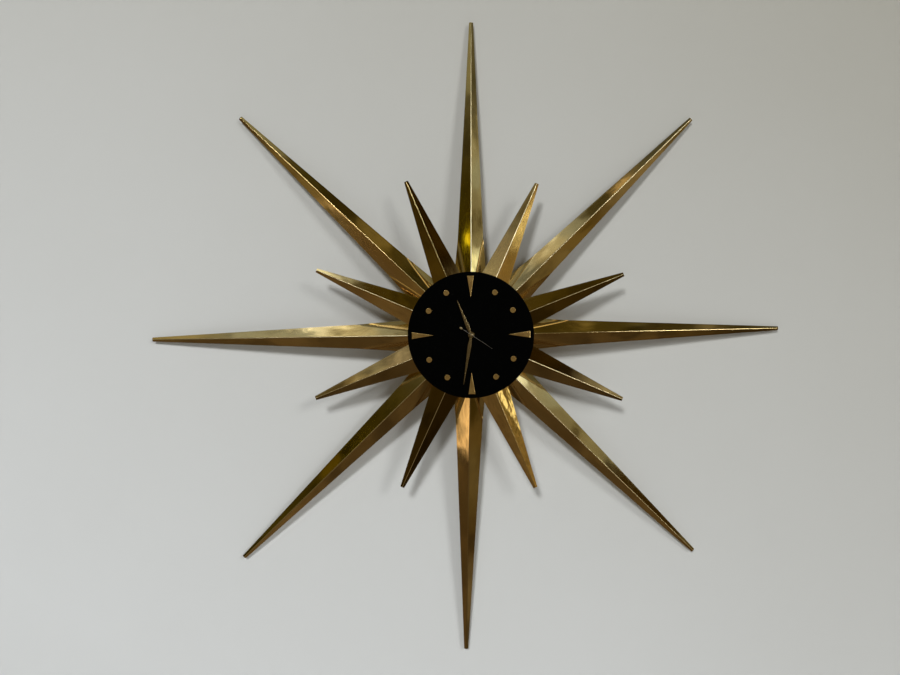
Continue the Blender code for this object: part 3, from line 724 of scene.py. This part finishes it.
def tongue_row(section, depth, radius):
    """The columns inside the folds, pressed flat and narrow."""
    inner = section[:INNER_COLUMNS]
    widest = inner[-1][0]
    return [(x / widest * TONGUE_HALF_WIDTH, radius, depth) for x, _ in inner]


def finish_sheet(obj):
    thickness = obj.modifiers.new("sheet", "SOLIDIFY")
    thickness.thickness = SHEET * MM
    thickness.offset = -1.0
    thickness.use_even_offset = True
    edge = obj.modifiers.new("edge", "BEVEL")
    edge.width = EDGE_ROUNDING * MM
    edge.segments = 2
    edge.limit_method = "ANGLE"
    edge.angle_limit = math.radians(60.0)
    edge.harden_normals = True


def blend_in(start, end, share):
    return start + (end - start) * share


def long_ray(number, angle, shoulder):
    rise = (LONG_RIDGE_AT_DIAL - LONG_TIP_DEPTH) / (OVERALL_RADIUS - DIAL_EDGE)
    widening = (LONG_HALF_WIDTH - TIP_HALF_WIDTH) / (OVERALL_RADIUS - LONG_WIDTH_RADIUS)

    def ridge(radius):
        return LONG_TIP_DEPTH + rise * (OVERALL_RADIUS - radius)

    def half(radius):
        return TIP_HALF_WIDTH + widening * (OVERALL_RADIUS - radius)

    shoulder_edge = ridge(shoulder) - half(shoulder) * LONG_SLOPE
    rows = []
    radii = []
    for i in range(BLADE_ROWS + 1):
        radii.append(blend_in(LONG_TIP_RADIUS, shoulder, (i / BLADE_ROWS) ** ROW_SPREAD))
    radii += [blend_in(shoulder, LONG_ROOT, (i + 1) / FLARE_ROWS) for i in range(FLARE_ROWS)]
    for radius in radii:
        if radius >= shoulder:
            edge = half(radius)
            fold = edge - min(LONG_LIP, edge * LIP_SHARE)
            edge_depth = ridge(radius) - edge * LONG_SLOPE
        else:
            share = (shoulder - radius) / (shoulder - DIAL_EDGE)
            fold = blend_in(half(shoulder) - LONG_LIP, FOLD_AT_DIAL, share)
            edge = blend_in(half(shoulder), FLARE_AT_DIAL, share)
            edge_depth = blend_in(shoulder_edge, FLARE_DEPTH_AT_DIAL, share)
        section = half_section(ridge(radius), LONG_SLOPE, fold, edge, edge_depth, RIDGE_ROUNDING)
        rows.append([(x, radius, z) for x, z in section])
    tongue = CARRIER[0] - LAYER_GAP
    tongue_rows = [tongue_row(section, tongue, radius) for radius in LONG_TONGUE]
    name = f"long_ray_{number}"
    obj = piece(name, sheet_mesh(name, rows, tongue_rows, number), ray_brass, angle=angle)
    finish_sheet(obj)
    return stand_for(obj, CASE, "ray_brass", f"ray_long_{number}")


def short_ray(number, angle):
    rise = (SHORT_RIDGE_AT_DIAL - SHORT_TIP_DEPTH) / (SHORT_RADIUS - DIAL_EDGE)
    widening = (SHORT_HALF_WIDTH - TIP_HALF_WIDTH) / (SHORT_RADIUS - DIAL_EDGE)
    rows = []
    for i in range(SHORT_ROWS + 1):
        radius = blend_in(SHORT_RADIUS, SHORT_ROOT, i / SHORT_ROWS)
        ridge = SHORT_TIP_DEPTH + rise * (SHORT_RADIUS - radius)
        edge = TIP_HALF_WIDTH + widening * (SHORT_RADIUS - radius)
        fold = edge - min(SHORT_LIP, edge * LIP_SHARE)
        edge_depth = ridge - edge * SHORT_SLOPE
        section = half_section(ridge, SHORT_SLOPE, fold, edge, edge_depth, SHORT_ROUNDING)
        rows.append([(x, radius, z) for x, z in section])
    tongue = CARRIER[1] + LAYER_GAP + SHEET
    tongue_rows = [tongue_row(section, tongue, radius) for radius in SHORT_TONGUE]
    name = f"short_ray_{number}"
    mesh = sheet_mesh(name, rows, tongue_rows, number + SHORT_SEED)
    obj = piece(name, mesh, ray_brass, angle=angle)
    finish_sheet(obj)
    return stand_for(obj, CASE, "ray_brass", f"ray_short_{number}")


for i, (lean, shoulder) in enumerate(LONG_RAYS):
    long_ray(i + 1, 45.0 * i + lean, shoulder)
for i, lean in enumerate(SHORT_RAY_LEANS):
    short_ray(i + 1, 45.0 * i + 22.5 + lean)


def rivets():
    """A domed head on each side of the carrier for every ray."""
    head = [(2.7, 0.0), (0.0, 0.0)]
    head = [(0.0, 1.1)] + arc((1.2, -0.4), 1.5, 85.0, 10.0, 6) + head
    dome = turned_mesh("rivet_dome", head, 24)
    half_turn = Matrix.Rotation(math.pi, 4, "X")
    placed = []
    for i in range(16):
        is_long = i % 2 == 0
        lean = LONG_RAYS[i // 2][0] if is_long else SHORT_RAY_LEANS[i // 2]
        x, y = on_dial(RIVET_CIRCLE, 22.5 * i + lean)
        front = CARRIER[1] if is_long else CARRIER[1] + LAYER_GAP + SHEET
        back = CARRIER[0] - LAYER_GAP - SHEET if is_long else CARRIER[0]
        placed.append((dome, Matrix.Translation(Vector((x, y, front)) * MM)))
        placed.append((dome, Matrix.Translation(Vector((x, y, back)) * MM) @ half_turn))
    return stand_for(piece("ray_rivets", joined("ray_rivets", placed), steel), CASE, "steel")


rivets()


# ---- dial and markers

def dial():
    low, high = DIAL
    front, back = DIAL_ROUNDINGS
    profile = arc((DIAL_RADIUS - front, high - front), front, 90.0, 0.0, 4)
    profile += arc((DIAL_RADIUS - back, low + back), back, 0.0, -90.0, 3)
    profile += [(DIAL_HOLE, low), (DIAL_HOLE, high)]
    profile.append(profile[0])
    mesh = turned_mesh("dial", profile, 192)
    return stand_for(piece("dial", mesh, dial_black), CASE, "dial_black", "dial_plate")


dial()


def marker_dot(hour, angle):
    low, high = MARKERS
    profile = [(0.0, high)]
    profile += [(DOT_RADIUS - inset, high - drop) for inset, drop in DOT_RIM]
    profile += [(DOT_RADIUS, low), (0.0, low)]
    x, y = on_dial(DOT_CIRCLE, angle)
    mesh = turned_mesh(f"dot_{hour}", profile, 40)
    obj = piece(f"dot_{hour}", mesh, marker_brass, (x, y, 0.0))
    return stand_for(obj, CASE, "marker_brass", f"hour_dot_{hour}")


def marker_wedge(hour, angle):
    """A triangle whose flat top is smaller than its foot, so bright bevels frame it."""
    low, high = MARKERS
    corners = [
        Vector((-WEDGE_HALF_WIDTH, WEDGE_BASE)),
        Vector((0.0, WEDGE_TIP)),
        Vector((WEDGE_HALF_WIDTH, WEDGE_BASE)),
    ]
    slant = (corners[1] - corners[0]).length
    from_tip = WEDGE_BEVEL * slant / WEDGE_HALF_WIDTH
    from_side = WEDGE_BEVEL * WEDGE_CORNER
    tops = [
        Vector((-WEDGE_HALF_WIDTH + from_side, WEDGE_BASE - WEDGE_BEVEL)),
        Vector((0.0, WEDGE_TIP + from_tip)),
        Vector((WEDGE_HALF_WIDTH - from_side, WEDGE_BASE - WEDGE_BEVEL)),
    ]
    bm = bmesh.new()
    levels = []
    for points, depth in ((corners, low), (corners, high - WEDGE_DROP), (tops, high)):
        levels.append([bm.verts.new((p.x * MM, p.y * MM, depth * MM)) for p in points])
    bm.faces.new(levels[0])
    bm.faces.new(levels[2])
    for lower, upper in zip(levels, levels[1:]):
        for i in range(3):
            k = (i + 1) % 3
            bm.faces.new((lower[i], lower[k], upper[k], upper[i]))
    mesh = outward(bm, f"wedge_{hour}")
    obj = piece(f"wedge_{hour}", mesh, marker_brass, angle=angle)
    edge = obj.modifiers.new("edge", "BEVEL")
    edge.width = WEDGE_EDGE * MM
    edge.segments = 2
    return stand_for(obj, CASE, "marker_brass", f"hour_wedge_{hour}")


for hour in range(1, 13):
    make = marker_dot if hour % 3 else marker_wedge
    make(hour, 30.0 * hour + DIAL_ROLL)


# ---- hands

def blade_mesh(name, low, thickness, stations):
    """A lancet blade with a raised middle line; stations are (y, half width)."""
    bm = bmesh.new()
    rows = []
    for y, half in stations:
        rise = min(thickness, BLADE_RISE + half * BLADE_RISE)
        points = (
            (-half, 0.0),
            (-half, BLADE_EDGE),
            (-half * BLADE_FLAT, rise * 0.97),
            (0.0, rise),
            (half * BLADE_FLAT, rise * 0.97),
            (half, BLADE_EDGE),
            (half, 0.0),
        )
        rows.append([bm.verts.new((x * MM, y * MM, (low + z) * MM)) for x, z in points])
    for first, second in zip(rows, rows[1:]):
        for i in range(7):
            k = (i + 1) % 7
            bm.faces.new((first[i], first[k], second[k], second[i]))
    bm.faces.new(rows[0])
    bm.faces.new(rows[-1])
    return outward(bm, name)


def boss_mesh(name, radius, bore, low, high):
    rounding = min(0.25, (high - low) / 2.2)
    profile = arc((radius - rounding, high - rounding), rounding, 90.0, 0.0, 4)
    profile += [(radius, low), (bore, low), (bore, high)]
    profile.append(profile[0])
    return turned_mesh(name, profile, 48)


def lancet(length, boss, belly_at, belly_half, neck_half, tip_half):
    """Half widths from inside the boss to the tip, swelling smoothly to the belly."""
    stations = []
    start = boss * 0.75
    for i in range(13):
        share = i / 12
        swell = math.sin(share * math.pi / 2) ** 1.2
        stations.append((blend_in(start, belly_at, share), blend_in(neck_half, belly_half, swell)))
    for i in range(1, 15):
        share = i / 14
        stations.append((blend_in(belly_at, length, share), blend_in(belly_half, tip_half, share)))
    return stations


def hand(name, body, node, angle, depths, bore, blade):
    low, high = depths
    still = Matrix.Identity(4)
    parts = [
        (blade_mesh(name + "_blade", low, high - low, lancet(*blade)), still),
        (boss_mesh(name + "_boss", blade[1], bore, low, high + BOSS_PROUD), still),
    ]
    obj = piece(name, joined(name, parts), hand_brass, angle=angle)
    return stand_for(obj, body, "hand_brass", node)


hand("hour_hand_blade", "hour_group", "hour_hand", HOUR_ANGLE, HOUR_HAND, HOUR_BORE, HOUR_BLADE)
hand(
    "minute_hand_blade",
    "minute_group",
    "minute_hand",
    MINUTE_ANGLE,
    MINUTE_HAND,
    MINUTE_BORE,
    MINUTE_BLADE,
)


def sweep_hand():
    """A fine needle with an oval brass counterweight and a small domed hub."""
    low, high = SECOND_HAND
    still = Matrix.Identity(4)
    stations = [(-COUNTERWEIGHT_AT, 0.28), (0.0, 0.38), (SECOND_REACH, 0.16)]
    needle = blade_mesh("needle", low + 0.1, 0.35, stations)
    obj = piece("second_needle", needle, dull_steel, angle=SECOND_ANGLE)
    stand_for(obj, "seconds_group", "steel", "second_hand")
    oval = Matrix.Translation(Vector((0.0, -COUNTERWEIGHT_AT, 0.0)) * MM)
    oval = oval @ Matrix.Diagonal((1.0, COUNTERWEIGHT_STRETCH, 1.0, 1.0))
    weight = [(0.0, low + 0.65), (0.9, low + 0.62)]
    weight += arc((1.15, low + 0.3), 0.32, 75.0, -75.0, 6) + [(0.0, low)]
    dome = [(0.0, 69.45)] + arc((0.6, 68.35), 1.1, 88.0, 0.0, 8) + [(1.7, low), (0.0, low)]
    parts = [
        (turned_mesh("weight", weight, 40), oval),
        (turned_mesh("hub", dome, 40), still),
    ]
    trim = piece("second_hub", joined("second_hub", parts), trim_brass, angle=SECOND_ANGLE)
    return stand_for(trim, "seconds_group", "hand_brass")


sweep_hand()


# ---- carrier, posts and nut

def carrier():
    low, high = CARRIER
    outlines = [ring(CARRIER_RADIUS, 128), ring(CARRIER_HOLE, 40)]
    mesh = prism_mesh("carrier", outlines, low, high, 0.12)
    return stand_for(piece("carrier_plate", mesh, zinc), CASE, "zinc_plate", "ray_carrier")


def dial_posts():
    low, high = CARRIER[1], DIAL[0]
    profile = [(0.0, high), (1.4, high), (1.4, high - 0.5), (2.2, high - 0.5), (2.5, high - 0.8)]
    profile += [(2.5, low + 0.8), (2.2, low + 0.5), (1.8, low + 0.5), (1.8, low), (0.0, low)]
    mesh = turned_mesh("post", profile, 32)
    for i in range(3):
        x, y = polar(POST_CIRCLE, math.pi / 2 + 2 * math.pi * i / 3)
        post = piece(f"post_{i + 1}", mesh.copy(), steel, (x, y, 0.0))
        stand_for(post, CASE, "steel", f"dial_post_{i + 1}")


def nut():
    radius, bore, height = NUT
    low = CARRIER[1] + 0.1
    mesh = prism_mesh("nut", [ring(radius, 6), ring(bore, 40)], low, low + height, 0.2)
    return stand_for(piece("hex_nut", mesh, steel), CASE, "steel", "bush_nut")


carrier()
dial_posts()
nut()


# ---- rear can, cover, knob, hanger

def can():
    """A pressed cup with a rounded rear corner and a turned-in bead at its rim."""
    wall = CAN_WALL
    corner = 2.6
    lip = 0.4
    groove = 0.35
    profile = arc((CAN_RADIUS - lip, CAN_RIM - lip), lip, 90.0, 0.0, 4)
    profile += [(CAN_RADIUS, CAN_RIM - 6.0), (CAN_RADIUS - groove, CAN_RIM - 6.6)]
    profile += [(CAN_RADIUS - groove, CAN_RIM - 8.0), (CAN_RADIUS, CAN_RIM - 8.6)]
    profile += arc((CAN_RADIUS - corner, corner), corner, 0.0, -90.0, 8)
    profile += [(30.0, 0.0), (0.0, 0.0), (0.0, wall), (30.0, wall)]
    profile += arc((CAN_RADIUS - corner, corner), corner - wall, -90.0, 0.0, 8)
    profile += [(CAN_RADIUS - wall, CAN_RIM - 0.3)]
    profile.append(profile[0])
    shell = turned_mesh("can", profile, 144)
    holes = [
        prism_mesh("bay", [rounded_rectangle(*BATTERY_BAY, 1.2)], -5.0, 5.0),
        prism_mesh("knob_hole", [ring(KNOB_HOLE, 64, SETTING_AXIS)], -5.0, 5.0),
        prism_mesh("slot", [keyhole(KEYHOLE_ENTRY, KEYHOLE_TOP)], -5.0, 5.0),
    ]
    obj = piece("can_shell", carved("can_shell", shell, holes), can_black)
    return stand_for(obj, CASE, "can_black", "rear_can")


def battery_door():
    """A snap-in cover with pressed grip lines."""
    left, low, right, high = BATTERY_BAY
    gap = 0.3
    outline = rounded_rectangle(left + gap, low + gap, right - gap, high - gap, 1.0)
    plate = prism_mesh("door", [outline], 0.02, CAN_WALL, 0.1)
    grooves = []
    for i in range(6):
        x = 12.0 + 2.0 * i
        outline = rounded_rectangle(x - 0.4, low + 3.5, x + 0.4, high - 3.5, 0.38, 4)
        grooves.append(prism_mesh("groove", [outline], -1.0, 0.35))
    obj = piece("battery_door", carved("battery_door", plate, grooves), can_black)
    return stand_for(obj, CASE, "can_black", "battery_cover")


def knob():
    """A fluted thumb wheel on the setting arbor, which runs up to its pinion."""
    steps = KNOB_FLUTES * 6
    outline = []
    for i in range(steps):
        wave = FLUTE_DEPTH * math.cos(2 * math.pi * i / 6)
        outline.append(polar(KNOB_RADIUS + wave, 2 * math.pi * i / steps))
    wheel = prism_mesh("knob_wheel", [outline], *KNOB, 0.2)
    hollow = [(4.4, 2.0), (4.4, 0.5), (0.0, 0.5), (0.0, 2.0), (4.4, 2.0)]
    dish = turned_mesh("knob_dish", hollow, 48)
    obj = piece("thumb_knob", carved("thumb_knob", wheel, [dish]), plastic, (*SETTING_AXIS, 0.0))
    stand_for(obj, "setting_group", "knob_plastic", "setting_knob")
    leaves = []
    for i in range(PINION_LEAVES):
        for radius, share in PINION_LEAF:
            turn = -math.pi / 2 + (i + share) * 2 * math.pi / PINION_LEAVES
            leaves.append(polar(radius, turn))
    top = SETTING_PINION[1] + 1.2
    arbor = [(0.0, top), (0.85, top), (1.0, top - 0.15), (1.0, KNOB[1] - 1.0), (0.0, KNOB[1] - 1.0)]
    still = Matrix.Identity(4)
    parts = [
        (turned_mesh("arbor", arbor, 32), still),
        (prism_mesh("leaves", [leaves], *SETTING_PINION, 0.05), still),
    ]
    obj = piece("setting_shaft", joined("setting_shaft", parts), plastic, (*SETTING_AXIS, 0.0))
    return stand_for(obj, "setting_group", "knob_plastic")


def hanger():
    low = CAN_WALL + 0.1
    plate = rounded_rectangle(-12.0, 32.0, 12.0, 50.0, 2.0)
    slot = keyhole(KEYHOLE_ENTRY, KEYHOLE_TOP)
    mesh = prism_mesh("hanger", [plate, slot], low, low + 1.4, 0.1)
    return stand_for(piece("hanger_bracket", mesh, steel), CASE, "steel", "hanger_plate")


can()
battery_door()
knob()
hanger()

# The remaining CAD nodes keep their shapes and get their finish from their slot
slots = {entry["node"]: entry["material_slot"] for entry in frame["record"]["subparts"]}
for node_name, node in frame["nodes"].items():
    node.data.materials.clear()
    node.data.materials.append(SLOT_MATERIALS[slots[node_name]])


# ---- wall, floor, lights, camera

def one_sided_wall():
    """Painted plaster seen from the room, and nothing from behind, so the clock's back shows."""
    made, t, place = material("wall_paint")
    cloud = t.noise(place, 1.3, 3.0, 0.5)
    stipple = t.noise(place, 420.0, 3.0, 0.6)
    across = t.add("SeparateXYZ", place)
    # The slow fall of light across the wall is partly in the paint
    slant = t.math("MULTIPLY_ADD", across.outputs[1], -0.60, -0.12)
    slant = t.math("MULTIPLY_ADD", across.outputs[0], -0.333, slant)
    share = t.math("MULTIPLY_ADD", cloud, 0.2, slant)
    colour = t.mix(share, (0.36, 0.345, 0.30), (0.66, 0.67, 0.675))
    paint = t.add("BsdfPrincipled")
    t.named(paint, Base_Color=colour, Roughness=0.75, Normal=t.bump(stipple, 0.10, 0.0006))
    clear = t.add("BsdfTransparent")
    behind = t.add("NewGeometry").outputs["Backfacing"]
    shadow = t.add("LightPath").outputs["Is Shadow Ray"]
    unseen = t.math("MAXIMUM", behind, shadow)
    mixed = t.add("MixShader", unseen, paint.outputs[0], clear.outputs[0])
    t.tree.links.new(mixed.outputs[0], t.add("OutputMaterial").inputs["Surface"])
    return made


# Metres: the wall stands just clear of the clock's back, and the floor is well below it
WALL_GAP = 0.0006
FLOOR_LEVEL = -1.35


def stage_plane(name, size, location, rotation, finish):
    bpy.ops.mesh.primitive_plane_add(size=size, location=location, rotation=rotation)
    plane = bpy.context.object
    plane.name = name
    plane.data.materials.append(finish)
    return plane


def floor_paint():
    made, t, place = material("floor_paint")
    cloud = t.noise(place, 2.0, 3.0, 0.5)
    surface(t, Base_Color=t.mix(cloud, (0.60, 0.59, 0.57), (0.66, 0.65, 0.63)), Roughness=0.8)
    return made


wall = stage_plane("wall", 8.0, (0.0, WALL_GAP, 1.0), (math.pi / 2, 0.0, 0.0), one_sided_wall())
wall.visible_glossy = False
wall.visible_diffuse = False
floor = stage_plane("floor", 12.0, (0.0, 0.0, FLOOR_LEVEL), (0.0, 0.0, 0.0), floor_paint())
floor.visible_glossy = False


def soft_light(name, direction, distance, size, power, colour):
    """A square panel that faces the clock from the given direction."""
    lamp = bpy.data.lights.new(name, "AREA")
    lamp.shape = "SQUARE"
    lamp.size = size
    lamp.energy = power
    lamp.color = colour
    obj = bpy.data.objects.new(name, lamp)
    bpy.context.scene.collection.objects.link(obj)
    towards = Vector(direction).normalized()
    obj.location = towards * distance
    obj.rotation_euler = towards.to_track_quat("Z", "Y").to_euler()
    obj.visible_glossy = False
    obj.visible_camera = False
    return obj


soft_light("window_left", (-0.29, -1.0, 0.52), 7.0, 1.1, 282.0, (0.96, 0.985, 1.0))
soft_light("window_right", (0.76, -1.0, 0.45), 7.0, 1.8, 118.0, (0.96, 0.985, 1.0))
soft_light("behind", (0.4, 1.0, 0.9), 6.5, 2.6, 400.0, (1.0, 1.0, 1.0))


# The room that the brass mirrors is stood in for by soft panels and dark flags, set so that the ray
# faces that mirror each one look like the photo's. Angle off the clock's axis, clock angle,
# reach and edge are in degrees, and then comes the colour
ROOM_PANELS = (
    (140.0, 30.0, 24.0, 8.0, (0.90, 0.88, 0.84)),
    (150.0, 250.0, 14.0, 5.0, (0.40, 0.38, 0.34)),
    (0.0, 0.0, 30.0, 12.0, (0.17, 0.135, 0.080)),
    (21.0, 356.0, 8.0, 4.0, (0.60, 0.57, 0.48)),
    (26.0, 335.0, 4.0, 1.2, (16.0, 15.2, 12.6)),
    (33.0, 330.0, 4.0, 1.2, (16.0, 15.2, 12.6)),
    (37.0, 61.0, 4.0, 1.2, (13.0, 12.4, 10.6)),
    (44.0, 59.0, 4.0, 1.2, (13.0, 12.4, 10.6)),
    (34.0, 73.0, 3.0, 1.2, (4.5, 4.3, 3.6)),
    (38.5, 84.0, 3.6, 1.2, (4.5, 4.3, 3.6)),
    (44.0, 92.0, 3.6, 1.2, (4.5, 4.3, 3.6)),
    (84.0, 88.0, 7.0, 2.0, (1.5, 1.4, 1.1)),
    (77.0, 342.0, 4.0, 2.0, (0.6, 0.58, 0.48)),
    (52.0, 271.0, 12.0, 7.0, (0.054, 0.036, 0.007)),
    (63.0, 289.0, 10.0, 4.0, (0.040, 0.031, 0.003)),
    (60.8, 297.0, 0.6, 0.2, (0.018, 0.014, 0.001)),
    (62.3, 291.4, 0.9, 0.2, (0.012, 0.009, 0.000)),
    (63.2, 288.8, 1.3, 0.3, (0.100, 0.068, 0.002)),
    (64.0, 286.3, 0.5, 0.2, (0.014, 0.010, 0.000)),
    (59.9, 292.0, 0.65, 0.2, (1.75, 1.50, 0.05)),
    (67.0, 309.0, 4.0, 2.0, (0.22, 0.22, 0.15)),
    (52.0, 320.0, 5.5, 2.5, (0.19, 0.180, 0.145)),
    (50.8, 320.0, 1.2, 0.5, (0.60, 0.54, 0.44)),
    (52.8, 324.0, 1.7, 0.6, (0.09, 0.074, 0.028)),
    (52.9, 312.6, 1.3, 0.6, (0.10, 0.075, 0.030)),
    (52.3, 315.0, 0.8, 0.4, (0.46, 0.37, 0.20)),
    (50.8, 316.6, 1.2, 0.5, (0.74, 0.72, 0.58)),
    (66.0, 325.0, 5.0, 3.0, (0.26, 0.23, 0.13)),
    (64.0, 338.0, 8.5, 3.0, (0.28, 0.30, 0.28)),
    (65.0, 339.1, 2.0, 0.5, (1.80, 1.85, 1.80)),
    (62.3, 340.5, 1.6, 0.7, (0.42, 0.40, 0.30)),
    (64.4, 347.0, 2.2, 0.9, (0.05, 0.04, 0.008)),
    (65.2, 349.0, 0.8, 0.35, (0.85, 0.64, 0.34)),
    (55.4, 357.2, 2.2, 0.9, (1.20, 1.28, 1.25)),
    (54.0, 7.0, 6.0, 2.0, (0.060, 0.042, 0.006)),
    (69.5, 8.5, 1.8, 0.9, (0.20, 0.205, 0.15)),
    (66.0, 21.0, 7.0, 3.0, (0.058, 0.044, 0.009)),
    (64.3, 29.0, 1.6, 0.8, (0.045, 0.035, 0.004)),
    (66.3, 22.8, 1.8, 0.7, (0.21, 0.165, 0.06)),
    (68.2, 15.0, 1.7, 0.8, (0.048, 0.040, 0.010)),
    (68.0, 33.3, 1.0, 0.5, (0.20, 0.17, 0.11)),
    (68.4, 35.6, 1.5, 0.5, (0.040, 0.030, 0.008)),
    (67.2, 31.0, 1.5, 0.7, (0.052, 0.040, 0.012)),
    (56.0, 46.0, 8.0, 2.5, (0.024, 0.013, 0.001)),
    (57.2, 54.5, 3.2, 1.4, (0.32, 0.30, 0.235)),
    (66.0, 69.0, 7.0, 2.5, (0.225, 0.215, 0.150)),
    (67.0, 69.3, 0.9, 0.3, (0.070, 0.056, 0.020)),
    (68.0, 65.3, 1.1, 0.5, (0.25, 0.28, 0.26)),
    (69.6, 60.0, 1.6, 0.7, (0.068, 0.064, 0.045)),
    (64.6, 62.6, 1.8, 0.6, (1.25, 1.40, 1.42)),
    (69.6, 77.2, 3.7, 0.8, (0.036, 0.020, 0.002)),
    (65.9, 73.2, 1.2, 0.5, (1.50, 1.65, 1.45)),
    (57.0, 90.0, 9.0, 4.0, (0.27, 0.19, 0.075)),
    (58.2, 87.4, 1.6, 0.4, (2.50, 2.20, 1.30)),
    (55.9, 88.2, 0.8, 0.4, (0.55, 0.48, 0.20)),
    (56.8, 90.6, 0.7, 0.3, (0.12, 0.08, 0.02)),
    (69.0, 103.0, 6.0, 3.0, (0.24, 0.19, 0.11)),
    (66.5, 111.5, 5.0, 2.0, (0.130, 0.092, 0.033)),
    (66.0, 113.6, 2.2, 1.0, (0.185, 0.145, 0.070)),
    (65.2, 107.0, 1.5, 0.8, (0.050, 0.034, 0.005)),
    (70.0, 124.0, 3.0, 1.5, (0.20, 0.16, 0.10)),
    (57.0, 135.0, 12.0, 6.0, (0.038, 0.024, 0.006)),
    (59.7, 251.0, 2.2, 0.6, (3.10, 2.25, 1.45)),
    (64.0, 253.0, 4.0, 2.5, (0.16, 0.12, 0.05)),
)


# How far the panels' outlines waver, so that they don't read as discs
STIR = 0.055


def studio_direction(off_axis, clock_angle):
    """The way out from the clock's face, tipped off its axis towards a clock angle."""
    off, turn = math.radians(off_axis), math.radians(clock_angle)
    return (math.sin(off) * math.sin(turn), -math.cos(off), math.sin(off) * math.cos(turn))


def room():
    """The mirrored room: pale above, warm and dim below, with the panels and flags in front."""
    world = bpy.data.worlds.new("room")
    bpy.context.scene.world = world
    world.use_nodes = True
    t = Tree(world.node_tree)
    exact = t.add("TexCoord").outputs["Generated"]
    stir = t.add("TexNoise")
    t.named(stir, Vector=exact, Scale=11.0, Detail=3.0)
    shift = t.vector("SUBTRACT", stir.outputs["Color"], (0.5, 0.5, 0.5))
    scaled = t.add("VectorMath", shift, operation="SCALE")
    shift = t.named(scaled, Scale=STIR).outputs[0]
    towards = t.vector("NORMALIZE", t.vector("ADD", exact, shift))
    height = t.add("SeparateXYZ", towards).outputs[2]
    level = t.math("MULTIPLY_ADD", height, 0.5, 0.5)
    colour = t.ramp(
        level,
        (0.0, (0.090, 0.062, 0.032)),
        (0.42, (0.105, 0.070, 0.032)),
        (0.50, (0.12, 0.095, 0.050)),
        (0.62, (0.125, 0.115, 0.060)),
        (1.0, (0.16, 0.16, 0.12)),
    )
    cloud = t.noise(towards, 3.1, 3.0, 0.5)
    colour = t.mix(1.0, colour, t.ramp(cloud, (0.35, 0.55), (0.65, 1.4)), "MULTIPLY")
    for off_axis, clock_angle, reach, edge, shade in ROOM_PANELS:
        centre = studio_direction(off_axis, clock_angle)
        facing = t.add("VectorMath", towards, centre, operation="DOT_PRODUCT").outputs["Value"]
        near = math.cos(math.radians(max(reach - edge, 0.0)))
        far = math.cos(math.radians(reach + edge))
        share = t.add("MapRange", facing, far, near, 0.0, 1.0, interpolation_type="SMOOTHSTEP")
        colour = t.mix(share.outputs[0], colour, shade)
    drapes = t.noise(towards, 17.0, 2.0, 0.5)
    folds = t.ramp(drapes, (0.405, 0.55), (0.43, 1.0), (0.56, 1.0), (0.58, 1.35))
    colour = t.mix(1.0, colour, folds, "MULTIPLY")
    path = t.add("LightPath").outputs
    haze = t.ramp(t.noise(exact, 1.4, 2.0, 0.5), (0.3, 0.46), (0.7, 0.50))
    colour = t.mix(path["Is Camera Ray"], colour, haze)
    sharp = t.math("MAXIMUM", path["Is Glossy Ray"], path["Is Camera Ray"])
    back = t.add("Background", colour, t.math("MULTIPLY_ADD", sharp, 0.75, 0.25))
    t.tree.links.new(back.outputs[0], t.add("OutputWorld").inputs["Surface"])


room()

# The main view: metres; degrees up, and counter-clockwise from above; millimetres on a 36 mm frame
CAMERA_AT = (-0.053, -0.996, -0.006)
CAMERA_TILT = 0.15
CAMERA_TURN = -1.46
CAMERA_LENS = 27.0

camera_data = bpy.data.cameras.new("camera")
camera_data.sensor_width = 36.0
camera_data.lens = CAMERA_LENS
camera = bpy.data.objects.new("camera", camera_data)
camera.location = CAMERA_AT
camera.rotation_euler = (math.radians(90.0 + CAMERA_TILT), 0.0, math.radians(CAMERA_TURN))
bpy.context.scene.collection.objects.link(camera)
bpy.context.scene.camera = camera
bpy.context.scene.view_settings.view_transform = "Standard"
